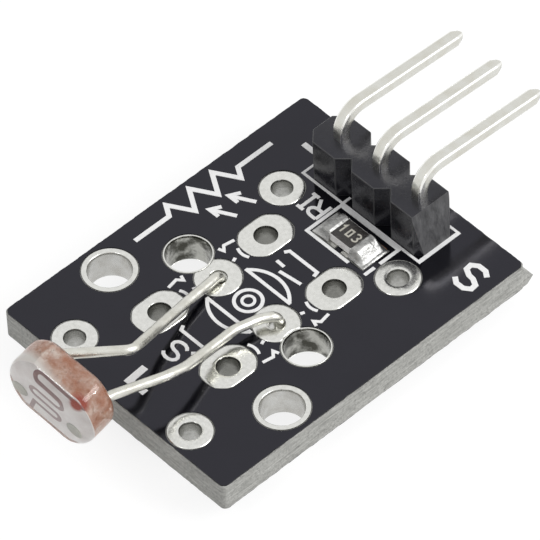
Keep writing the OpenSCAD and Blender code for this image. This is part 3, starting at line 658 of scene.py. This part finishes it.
def mask_outline(seed):
    """The board's outline with round corners, set back and made uneven."""
    r = BOARD_CORNER_R
    half_w = BOARD_W / 2 - MASK_INSET
    front = FRONT_Y + MASK_INSET
    rear = REAR_Y - MASK_INSET
    corners = [((half_w - r, rear - r), 0), ((-half_w + r, rear - r), 90),
               ((-half_w + r, front + r), 180), ((half_w - r, front + r), 270)]
    plain = []
    for (cx, cy), start in corners:
        for turn in range(0, 90 + EDGE_DEG, EDGE_DEG):
            a = math.radians(start + turn)
            plain.append(Vector((cx + r * math.cos(a), cy + r * math.sin(a), 0)))
    plain.append(plain[0])
    middle = Vector((0, MIDDLE_Y, 0))
    out = []
    for p in denser(plain, EDGE_STEP)[:-1]:
        coarse = wobble(p.x * 2.2, p.y * 2.2, 0, seed)
        fine = wobble(p.x * 9, p.y * 9, 1, seed)
        cut = MASK_RAGGED * max(0.0, 0.5 + coarse + 0.6 * fine)
        at_side = abs(p.x) > half_w - r
        at_end = abs(p.y - middle.y) > (rear - front) / 2 - r
        inward = Vector((-math.copysign(1, p.x) if at_side else 0,
                         -math.copysign(1, p.y - middle.y) if at_end else 0, 0))
        q = p + inward * cut
        out.append((q.x, q.y))
    return out


def pad_holes(grow):
    holes = [ring_points(p, MOUNT_RING_R + grow) for p in mount_places]
    holes += [ring_points(p, PIN_PAD_R + grow) for p in header_places]
    holes += [ring_points(p, ROUND_PAD_R + grow) for p in round_places.values()]
    holes += [oblong_points(p, grow) for p in oblong_places.values()]
    return holes


def eye_points(side, grow):
    """One outline around a large hole's rim and the lead pad that touches it."""
    hole = Vector((side * LARGE_X, LEAD_PAD_Y))
    pad = Vector((side * LEAD_PAD_X, LEAD_PAD_Y))
    big, small = LARGE_RIM_R + grow, LEAD_PAD_R + grow
    gap = (hole - pad).length
    along = (gap ** 2 + big ** 2 - small ** 2) / (2 * gap)
    half_big = math.acos(along / big)
    half_small = math.acos((gap - along) / small)
    hole_turn = math.pi if side > 0 else 0.0
    pad_turn = math.pi - hole_turn
    points = []
    for i in range(EYE_HOLE_STEPS + 1):
        a = half_big + (2 * math.pi - 2 * half_big) * i / EYE_HOLE_STEPS + hole_turn
        points.append((hole.x + big * math.cos(a), hole.y + big * math.sin(a)))
    for i in range(EYE_PAD_STEPS + 1):
        a = half_small + (2 * math.pi - 2 * half_small) * i / EYE_PAD_STEPS + pad_turn
        points.append((pad.x + small * math.cos(a), pad.y + small * math.sin(a)))
    return points


def chip_pad_points(side, grow):
    cx = CHIP_X + side * CHIP_PAD_DX / 2
    x, y = CHIP_PAD_L / 2 + grow, CHIP_PAD_W / 2 + grow
    return [(cx - x, CHIP_Y - y), (cx + x, CHIP_Y - y), (cx + x, CHIP_Y + y), (cx - x, CHIP_Y + y)]


# Solder masks

def flat_mesh(outline, holes, z0, z1):
    """Vertices and faces of a flat plate with holes."""
    curve = bpy.data.curves.new("plate", "CURVE")
    curve.dimensions = "2D"
    curve.fill_mode = "BOTH"
    curve.extrude = (z1 - z0) / 2
    for points in [outline] + holes:
        spline = curve.splines.new("POLY")
        spline.points.add(len(points) - 1)
        for target, (x, y) in zip(spline.points, points):
            target.co = (x, y, 0, 1)
        spline.use_cyclic_u = True
    obj = bpy.data.objects.new("plate", curve)
    bpy.context.scene.collection.objects.link(obj)
    mesh = bpy.data.meshes.new_from_object(obj.evaluated_get(bpy.context.evaluated_depsgraph_get()))
    middle = (z0 + z1) / 2
    vertices = [Vector((v.co.x, v.co.y, v.co.z + middle)) for v in mesh.vertices]
    faces = [tuple(f.vertices) for f in mesh.polygons]
    bpy.data.objects.remove(obj)
    bpy.data.curves.remove(curve)
    bpy.data.meshes.remove(mesh)
    return vertices, faces


def make_mask(key, holes, z0, z1, seed):
    vertices, faces = flat_mesh(mask_outline(seed), holes, z0, z1)
    piece("solder_mask_" + key, vertices, faces, [mask_look], [key + "_solder_mask"],
          smooth=False)


both_holes = pad_holes(MASK_GAP) + [eye_points(side, MASK_GAP) for _, side in SIDES]
top_holes = both_holes + [chip_pad_points(side, MASK_GAP) for _, side in SIDES]
make_mask("top", top_holes, BOARD_T - FILM, BOARD_T, 3.1)
make_mask("bottom", both_holes, 0, FILM, 8.7)


# Plated holes and pads

PAD_DOME = 0.022
RING_DOME = 0.012
RIM_DOME = 0.008
PAD_SWELL = 0.006


def plated(name, node, centre, outline, hole_r, seed, barrel, dome=PAD_DOME):
    """A plated hole with its pad on both faces, slightly domed and with rounded edges."""
    count = len(outline)
    cx, cy = centre
    # Share of the way from the hole to the outline, distance off the hole's wall, height
    profile = [(0, 0, BOARD_T - 0.16), (0, 0.006, BOARD_T - 0.05), (0, 0.03, BOARD_T - 0.004),
               (0.08, 0.03, BOARD_T + 0.5 * dome), (0.3, 0, BOARD_T + dome), (0.6, 0, BOARD_T + dome),
               (0.85, 0, BOARD_T + 0.6 * dome), (0.96, 0, BOARD_T - 0.004), (1, 0, BOARD_T - 0.03),
               (1, 0, BOARD_T - FILM)]
    lower = [(share, out, BOARD_T - z) for share, out, z in reversed(profile)]
    wall = hole_r + PLATING

    def row(share, out, z):
        points = []
        for x, y in outline:
            direction = Vector((x - cx, y - cy, 0))
            reach = direction.length
            r = hole_r + out * (1 - share) + share * (reach - hole_r)
            swell = PAD_SWELL * wobble(x * 3, y * 3, z, seed) if 0 < share < 1 else 0
            points.append(Vector((cx, cy, z + swell)) + direction / reach * r)
        return points

    def wall_row(z):
        return [Vector((cx + wall * (x - cx) / math.hypot(x - cx, y - cy),
                        cy + wall * (y - cy) / math.hypot(x - cx, y - cy), z)) for x, y in outline]

    rows = [row(*p) for p in profile]
    rows += [wall_row(BOARD_T - FILM), wall_row(FILM)]
    rows += [row(*p) for p in lower]
    shape = Shape()
    shape.grid(rows, close_rows=True, close_columns=True)
    last = len(rows) - 1
    shape.looks = []
    for i in range(len(rows)):
        inside = i < 2 or i >= last - 1
        shape.looks.extend([1 if inside else 0] * count)
    shape.make(name, [tin_look, barrel], [node])


# Each hole's wall takes one of the barrel looks, darkened as painted shade.
for i, (side_name, side) in enumerate(SIDES):
    plated(side_name + "_mount_ring", side_name + "_mounting_hole_plating", mount_places[i],
           ring_points(mount_places[i], MOUNT_RING_R, FINE_RING), MOUNT_HOLE_R, i, bright_barrel, RING_DOME)
    plated(side_name + "_large_ring", side_name + "_large_hole_plating", large_places[i],
           ring_points(large_places[i], LARGE_RIM_R, FINE_RING), LARGE_HOLE_R, i + 3, shaded_mottled_barrel, RIM_DOME)
    plated(side_name + "_lead_land", side_name + "_lead_pad", lead_places[i],
           lead_pad_points(side), LEAD_HOLE_R, i + 6, deep_shade_barrel)
for i, (key, place) in enumerate(round_places.items()):
    plated(key + "_round_land", key + "_round_pad", place, ring_points(place, ROUND_PAD_R),
           ROUND_HOLE_R, i + 9, small_barrel)
for i, (key, place) in enumerate(oblong_places.items()):
    plated(key + "_oblong_land", key + "_oblong_pad", place, oblong_points(place),
           OBLONG_HOLE_R, i + 14, deep_shade_barrel)
for i, (key, _) in enumerate(pin_places):
    plated(key + "_pin_land", key + "_pin_pad", header_places[i], ring_points(header_places[i], PIN_PAD_R),
           PIN_HOLE_R, i + 20, deep_shade_barrel)


# Leads

LEAD_DENT = 0.006
SNIPPED = 0.72
lead_slack = LEAD_HOLE_R - LEAD_D / 2
left_foot = Vector((-LEAD_PAD_X + 0.9 * lead_slack, LEAD_PAD_Y, BOARD_T))
right_foot = Vector((LEAD_PAD_X + 0.4 * lead_slack, LEAD_PAD_Y + 0.75 * lead_slack, BOARD_T))
left_over_board = [(0, 0, 0.32), (0.42, -2.49, 0.7), (0.95, -4.61, 1.22), (1.75, -6.8, 2.15)]
right_over_board = [(0, 0, 0.45), (-0.38, -0.69, 0.53), (-0.61, -2.11, 0.72), (-0.38, -4, 1.02),
                    (-0.05, -5.6, 1.48), (-0.03, -6.75, 1.85)]


def make_lead(name, side, foot, over_board):
    """A wire from its snipped end under the board to the disc's face, where glue covers its head."""
    route = [Vector((foot.x, foot.y, -TAIL))] + [foot + Vector(p) for p in over_board]
    route += [lead_at(side, RESIN_T / 2 + LEAD_STUB + LEAD_BEND_R), lead_at(side, FILM_Y - 0.05)]
    path = denser(rounded_path(route, LEAD_BEND_R, 4), 0.15)

    def section(travelled):
        r = LEAD_D / 2
        if travelled < LEAD_SNIP:
            r *= SNIPPED + (1 - SNIPPED) * travelled / LEAD_SNIP
        dent = LEAD_DENT * noise.noise(Vector((travelled * 1.7, side * 5, 0)))
        return circle(r + dent - LEAD_DENT, 24)

    shape = Shape()
    shape.tube(swept(path, section, (1, 0, 0)))
    # Shares of the head's radius and height
    head = [(0.05, 1), (0.5, 1), (0.82, 0.9), (0.96, 0.66), (1, 0.35), (0.96, 0.02), (0.5, 0)]
    rings = []
    for r, h in head:
        rings.append([lead_at(side, FILM_Y - HEAD_H * h, x, z) for x, z in circle(HEAD_R * r, 32)])
    shape.tube(rings, 1)
    shape.make(name + "_wire", [wire_look, glue_look], [name])


make_lead("left_lead", -1, left_foot, left_over_board)
make_lead("right_lead", 1, right_foot, right_over_board)


# Header pins and housing

PIN_CORNER_R = 0.09
PIN_CORNER_POINTS = 4
PIN_BEND_STEPS = 22
PIN_STEP = 0.4
PIN_WEAR = 0.005
PIN_SKIN = 0.004
EDGE_ANGLE = 0.3
HOUSING_SHARP = math.radians(30)
PLASTIC, TORN, BEVEL_HIGHLIGHT = 0, 1, 2


def rounded_square(side, r):
    points = []
    for i, (sx, sy) in enumerate(((1, 1), (-1, 1), (-1, -1), (1, -1))):
        for k in range(PIN_CORNER_POINTS):
            a = math.radians(90 * i + 90 * k / (PIN_CORNER_POINTS - 1))
            points.append((sx * (side / 2 - r) + r * math.cos(a), sy * (side / 2 - r) + r * math.sin(a)))
    return points


def make_pin(key, x, seed):
    """A square pin bent over the board's rear edge, slightly uneven in width, its rounded corners painted
    brighter as a highlight, and a pointed end.
    """
    bend_z = BOARD_T + PIN_RISE - PIN_BEND_R
    run = (PIN_REACH - PIN_BEND_R * (1 - math.cos(PIN_BEND))) / math.sin(PIN_BEND)
    path = [Vector((x, HEADER_Y, z)) for z in (-TAIL, -TAIL + PIN_FOOT, bend_z)]
    centre = Vector((x, HEADER_Y + PIN_BEND_R, bend_z))
    for i in range(1, PIN_BEND_STEPS + 1):
        a = PIN_BEND * i / PIN_BEND_STEPS
        path.append(centre + Vector((0, -math.cos(a), math.sin(a))) * PIN_BEND_R)
    ahead = Vector((0, math.sin(PIN_BEND), math.cos(PIN_BEND)))
    elbow = path[-1]
    shoulder = run - PIN_POINT
    tip_marks = [shoulder - 0.05, shoulder, shoulder + 0.06, run - 0.1, run - PIN_NOSE, run]
    path = denser(path, PIN_STEP)
    path += denser([elbow, elbow + ahead * tip_marks[0]], PIN_STEP)[1:]
    path += [elbow + ahead * m for m in tip_marks[1:]]
    total = sum((b - a).length for a, b in zip(path, path[1:]))

    def section(travelled):
        left = total - travelled
        size = PIN
        if left < PIN_POINT:
            size = PIN_END + (PIN - PIN_END) * (left / PIN_POINT) ** 0.85
        if left < PIN_NOSE:
            size *= PIN_BLUNT
        if travelled < PIN_FOOT:
            size = PIN * (PIN_BLUNT + (1 - PIN_BLUNT) * travelled / PIN_FOOT)
        corner = min(PIN_CORNER_R, size * 0.2)
        worn = PIN_WEAR * noise.noise(Vector((travelled * 1.3, seed, 0)))
        return rounded_square(size - PIN_SKIN + worn, corner)

    shape = Shape()
    shape.tube(swept(path, section, (1, 0, 0)))
    # Faces on the rounded corners take the brighter look, a painted highlight along the pin's edges.
    for i in range((len(path) - 1) * 4 * PIN_CORNER_POINTS):
        flat = i % PIN_CORNER_POINTS == PIN_CORNER_POINTS - 1
        shape.looks[i] = 0 if flat else 1
    shape.make(key + "_header_pin", [pin_look, edge_highlight_look], [key + "_pin"])


for i, (key, x) in enumerate(pin_places):
    make_pin(key, x + HEADER_SHIFT, 3.0 + 7 * i)


def housing_outline():
    """Outline of the housing about the middle pin, notched between the pins."""
    half = PITCH / 2
    depth = HOUSING_D / 2
    front = [(pin_places[0][1] - half, -depth + HOUSING_CUT)]
    for _, x in pin_places:
        front += [(x - half + HOUSING_CUT, -depth), (x + half - HOUSING_CUT, -depth),
                  (x + half, -depth + HOUSING_CUT)]
    return front + [(x, -y) for x, y in reversed(front)]


def make_housing():
    """The housing with its bevelled edges painted lighter as a highlight, torn off at a slant at its signal
    end.
    """
    outline = housing_outline()
    shell = bmesh.new()
    bottom = [shell.verts.new((HEADER_SHIFT + x, HEADER_Y + y, BOARD_T)) for x, y in outline]
    top = [shell.verts.new((HEADER_SHIFT + x, HEADER_Y + y, BOARD_T + HOUSING_H)) for x, y in outline]
    count = len(outline)
    shell.faces.new(list(reversed(bottom)))
    shell.faces.new(top)
    for i in range(count):
        j = (i + 1) % count
        shell.faces.new((bottom[i], bottom[j], top[j], top[i]))
    end = 3 * (PITCH / 2)
    end_top = end - SHEAR_TOP
    end_bottom = end - SHEAR_BOTTOM
    lean = Vector((HOUSING_H, 0, end_bottom - end_top)).normalized()
    at = Vector((HEADER_SHIFT + end_bottom, HEADER_Y, BOARD_T))
    everything = shell.verts[:] + shell.edges[:] + shell.faces[:]
    cut = bmesh.ops.bisect_plane(shell, geom=everything, plane_co=at, plane_no=lean, clear_outer=True)
    rim = [e for e in cut["geom_cut"] if isinstance(e, bmesh.types.BMEdge)]
    torn = bmesh.ops.contextual_create(shell, geom=rim)["faces"]
    for f in shell.faces:
        f.material_index = PLASTIC
    for f in torn:
        f.material_index = TORN
    sharp = [e for e in shell.edges if len(e.link_faces) == 2 and e.calc_face_angle() > EDGE_ANGLE
             and not any(f in torn for f in e.link_faces)]
    rounded = bmesh.ops.bevel(shell, geom=sharp, offset=HOUSING_BEVEL, segments=3, profile=0.6,
                              affect="EDGES", clamp_overlap=True)
    # The bevel faces take the lighter look, a painted highlight along the housing's edges.
    for f in rounded["faces"]:
        f.material_index = BEVEL_HIGHLIGHT
    mesh = bpy.data.meshes.new("pin_housing")
    bmesh.ops.scale(shell, vec=(MM, MM, MM), verts=shell.verts)
    bmesh.ops.recalc_face_normals(shell, faces=shell.faces)
    shell.to_mesh(mesh)
    shell.free()
    for look in (plastic_look, torn_look, bevel_highlight_look):
        mesh.materials.append(look)
    mesh.shade_smooth()
    mesh.set_sharp_from_angle(angle=HOUSING_SHARP)
    add_piece("pin_housing", mesh, ["header_housing"])


make_housing()


# Solder

CONE_H = 0.85
CONE_STEPS = 12
CONE_CURVE = 2.1
CONE_SKIRT = 0.02
LEAD_CONE_R = 0.88
LEAD_CORE_R = 0.4
LEAD_FILL = 1.5
PIN_CONE_R = 0.73
PIN_CORE_R = 0.52
PIN_FILL = 0.9


def make_joint(name, node, centre, pad_r, hole_r, core_r, fill, seed):
    """A concave cone under the pad and a plug that wets the hole's wall as high as its fill."""
    tip = core_r + 0.05
    profile = [(core_r * 0.6, fill - 0.08), (hole_r * 0.8, fill - 0.1), (hole_r, fill),
               (hole_r, CONE_SKIRT), (pad_r, 0.0), (pad_r, -CONE_SKIRT)]
    for i in range(1, CONE_STEPS + 1):
        s = i / CONE_STEPS
        r = tip + (pad_r - tip) * (1 - s) ** CONE_CURVE
        profile.append((r, -CONE_SKIRT - (CONE_H - CONE_SKIRT) * s))
    profile.append((core_r * 0.8, -CONE_H - 0.01))
    rings = lathe(profile, centre, 40)
    for ring in rings:
        for p in ring:
            if p.z < -0.03:
                sway = 1 + 0.05 * wobble(p.x * 1.5, p.y * 1.5, p.z, seed)
                p.x = centre[0] + (p.x - centre[0]) * sway
                p.y = centre[1] + (p.y - centre[1]) * sway
    shape = Shape()
    shape.tube(rings)
    shape.make(name, [solder_look], [node])


for i, (side_name, _) in enumerate(SIDES):
    make_joint(side_name + "_lead_joint", side_name + "_lead_solder", lead_places[i],
               LEAD_CONE_R, LEAD_HOLE_R, LEAD_CORE_R, LEAD_FILL, i)
for i, (key, _) in enumerate(pin_places):
    make_joint(key + "_pin_joint", key + "_pin_solder", header_places[i],
               PIN_CONE_R, PIN_HOLE_R, PIN_CORE_R, PIN_FILL, i + 4)


def smooth(t):
    t = min(1.0, max(0.0, t))
    return t * t * (3 - 2 * t)


def make_chip_solder(side_name, side, bulk, seed):
    """Solder that climbs from the pad over a terminal of the chip."""
    inner = CHIP_L / 2 - TERMINAL
    outer = (CHIP_PAD_DX + CHIP_PAD_L) / 2 + 0.02
    half_y = CHIP_PAD_W / 2
    reach = outer - CHIP_L / 2
    steps = 34
    over_chip = 0.085
    skin = 0.05
    skin_edge = 0.08
    lump = 0.03
    rows = []
    for i in range(steps + 1):
        a = inner + (outer - inner) * i / steps
        row = []
        for j in range(steps + 1):
            b = -half_y + 2 * half_y * j / steps
            beyond = max(0.0, a - CHIP_L / 2)
            aside = max(0.0, abs(b) - CHIP_W / 2 + 0.06)
            slope = (1 - smooth(beyond / reach)) ** (1.5 / bulk)
            flank = 1 - smooth(aside / (half_y - CHIP_W / 2 + 0.07))
            over = over_chip * smooth((a - inner) / 0.12) * smooth((half_y - abs(b)) / 0.25)
            height = (CHIP_H + over) * slope * (0.12 + 0.88 * flank)
            edge = smooth(min(outer - a, half_y - abs(b), skin_edge) / skin_edge)
            height = max(height, skin * edge)
            uneven = wobble(a * 2.2, b * 2.2, side, seed)
            height += lump * bulk * uneven * edge * smooth((a - inner) / 0.1)
            row.append(Vector((CHIP_X + side * a, CHIP_Y + b, BOARD_T + max(0.0, height))))
        rows.append(row)
    floor = [[Vector((p.x, p.y, BOARD_T)) for p in row] for row in rows]
    shape = Shape()
    shape.grid(rows)
    shape.grid([rows[0], floor[0]])
    shape.grid([rows[-1], floor[-1]])
    shape.grid([[r[0] for r in rows], [r[0] for r in floor]])
    shape.grid([[r[-1] for r in rows], [r[-1] for r in floor]])
    shape.make(side_name + "_chip_solder", [chip_solder_look], [side_name + "_resistor_solder"])


make_chip_solder("left", -1, 1.0, 2.0)
make_chip_solder("right", 1, 1.4, 5.0)


# Resin body

RESIN_POINTS = 160
RESIN_EDGE_STEPS = 12
RESIN_TOP_REACH = 0.55
RESIN_TOP_DEPTH = 0.2
RESIN_WAVE = 0.02
FLAT_POWER = 26


def make_resin():
    """A round body with two flats, its front edge curved widest at the top and its back edge soft."""
    quarter = [math.pi / 2 * i / RESIN_EDGE_STEPS for i in range(RESIN_EDGE_STEPS + 1)]

    def front_edge(a):
        """How far the curve of the front edge reaches over the face and along the rim."""
        top = smooth(math.sin(a) + 0.15)
        return RESIN_FRONT_R + RESIN_TOP_REACH * top, RESIN_FRONT_R + RESIN_TOP_DEPTH * top

    def ring(place, share=1.0):
        """Points around the body; place gives the inset and the depth at an angle."""
        points = []
        for k in range(RESIN_POINTS):
            a = 2 * math.pi * k / RESIN_POINTS
            inset, y = place(a)
            flat = RESIN_H / 2 / max(1e-6, abs(math.sin(a)))
            r = ((RESIN_W / 2) ** -FLAT_POWER + flat ** -FLAT_POWER) ** (-1 / FLAT_POWER) - inset
            wave = RESIN_WAVE * wobble(1.1 * math.cos(a), 1.1 * math.sin(a), y, 4.2) - RESIN_WAVE
            x, z = share * (r + wave) * math.cos(a), share * (r + wave) * math.sin(a)
            points.append(from_sensor(x, y, z))
        return points

    def front(t):
        def place(a):
            reach, depth = front_edge(a)
            return reach * (1 - math.sin(t)), -RESIN_T / 2 + depth * (1 - math.cos(t))
        return place

    def back(t):
        inset = RESIN_BACK_R * (1 - math.cos(t))
        y = RESIN_T / 2 - RESIN_BACK_R * (1 - math.sin(t))
        return lambda a: (inset, y)

    rows = [ring(front(0), s) for s in (0.2, 0.5, 0.8, 0.93)]
    rows += [ring(front(t)) for t in quarter]
    rows += [ring(lambda a, y=y: (0, y)) for y in (-0.2, 0, 0.2, 0.35)]
    rows += [ring(back(t)) for t in quarter[1:]]
    rows += [ring(back(quarter[-1]), s) for s in (0.9, 0.6, 0.3)]
    shape = Shape()
    shape.tube(rows)
    shape.make("resin_body", [resin_look], ["resin_coat"])


make_resin()


# Floor, light and camera

FLOOR_HALF = 3.0
FLOOR_GREY = 0.22
FLOOR_GLOW = 0.2
FLOOR_SEEN = 0.84
SKY_LIGHT = 0.56
SKY_SEEN = 1.0
CAMERA_AZIMUTH = math.radians(49.13)
CAMERA_ELEVATION = math.radians(48.84)
CAMERA_ROLL = math.radians(2.97)
CAMERA_RIGHT = -0.240
CAMERA_DOWN = 0.775
CAMERA_AWAY = 314.18
CAMERA_CHIP = 36
FOCAL_PX = 7000
PICTURE_PX = 540


def seen_strength(tree, unseen, seen):
    """One strength for camera, glossy and transmission rays, and another for the rest."""
    path = tree.nodes.new("ShaderNodeLightPath")
    first = tree.nodes.new("ShaderNodeMath")
    first.operation = "MAXIMUM"
    second = tree.nodes.new("ShaderNodeMath")
    second.operation = "MAXIMUM"
    tree.links.new(path.outputs["Is Camera Ray"], first.inputs[0])
    tree.links.new(path.outputs["Is Glossy Ray"], first.inputs[1])
    tree.links.new(first.outputs[0], second.inputs[0])
    tree.links.new(path.outputs["Is Transmission Ray"], second.inputs[1])
    strength = tree.nodes.new("ShaderNodeMapRange")
    strength.inputs["To Min"].default_value = unseen
    strength.inputs["To Max"].default_value = seen
    tree.links.new(second.outputs[0], strength.inputs["Value"])
    return strength.outputs["Result"]


def make_floor():
    mesh = bpy.data.meshes.new("floor")
    corners = [(-1, -1), (1, -1), (1, 1), (-1, 1)]
    mesh.from_pydata([(x * FLOOR_HALF, y * FLOOR_HALF, -TAIL * MM) for x, y in corners], [], [(0, 1, 2, 3)])
    floor = bpy.data.objects.new("floor", mesh)
    bpy.context.scene.collection.objects.link(floor)
    material = bpy.data.materials.new("pale_floor")
    material.use_nodes = True
    tree = material.node_tree
    shader = tree.nodes["Principled BSDF"]
    shader.inputs["Roughness"].default_value = 1.0
    shader.inputs["Specular IOR Level"].default_value = 0.0
    shader.inputs["Base Color"].default_value = (FLOOR_GREY, FLOOR_GREY, FLOOR_GREY, 1)
    shader.inputs["Emission Color"].default_value = (1, 1, 1, 1)
    tree.links.new(seen_strength(tree, FLOOR_GLOW, FLOOR_SEEN), shader.inputs["Emission Strength"])
    mesh.materials.append(material)


def make_world():
    world = bpy.data.worlds.new("studio")
    bpy.context.scene.world = world
    world.use_nodes = True
    tree = world.node_tree
    background = tree.nodes["Background"]
    background.inputs["Color"].default_value = (1, 1, 1, 1)
    tree.links.new(seen_strength(tree, SKY_LIGHT, SKY_SEEN), background.inputs["Strength"])


def make_lamp(name, place, target, size, power):
    """An area lamp in metres and watts, turned to its target."""
    data = bpy.data.lights.new(name, "AREA")
    data.size = size
    data.energy = power
    lamp = bpy.data.objects.new(name, data)
    lamp.location = place
    lamp.rotation_euler = (Vector(target) - Vector(place)).to_track_quat("-Z", "Y").to_euler()
    bpy.context.scene.collection.objects.link(lamp)


def make_camera():
    """The photo's view: a direction about the board, a roll, and the board's place in the picture."""
    level_reach = math.cos(CAMERA_ELEVATION)
    forward = Vector((-math.sin(CAMERA_AZIMUTH) * level_reach, math.cos(CAMERA_AZIMUTH) * level_reach,
                      -math.sin(CAMERA_ELEVATION)))
    level = forward.cross(Vector((0, 0, 1))).normalized()
    low = forward.cross(level)
    right = math.cos(CAMERA_ROLL) * level + math.sin(CAMERA_ROLL) * low
    down = -math.sin(CAMERA_ROLL) * level + math.cos(CAMERA_ROLL) * low
    board_top = Vector((0, MIDDLE_Y, BOARD_T))
    eye = board_top - right * CAMERA_RIGHT - down * CAMERA_DOWN - forward * CAMERA_AWAY
    camera = bpy.data.cameras.new("camera")
    camera.sensor_width = CAMERA_CHIP
    camera.lens = CAMERA_CHIP * FOCAL_PX / PICTURE_PX
    camera.clip_start = 0.01
    camera.clip_end = 10
    obj = bpy.data.objects.new("camera", camera)
    turn = Matrix((right, -down, -forward)).transposed().to_4x4()
    obj.matrix_world = Matrix.Translation(eye * MM) @ turn
    bpy.context.scene.collection.objects.link(obj)
    bpy.context.scene.camera = obj


make_floor()
make_world()
make_lamp("key", (0.18, 0.11, 0.165), (0, 0.004, 0), size=0.15, power=0.42)
make_lamp("front", (0.007, -0.15, 0.144), (0, -0.008, 0.004), size=0.035, power=0.038)
make_lamp("glint", (0.167, 0.067, 0.084), (0, -0.008, 0.004), size=0.012, power=0.02)
make_camera()
bpy.context.scene.view_settings.view_transform = "Standard"

bpy.context.view_layer.update()
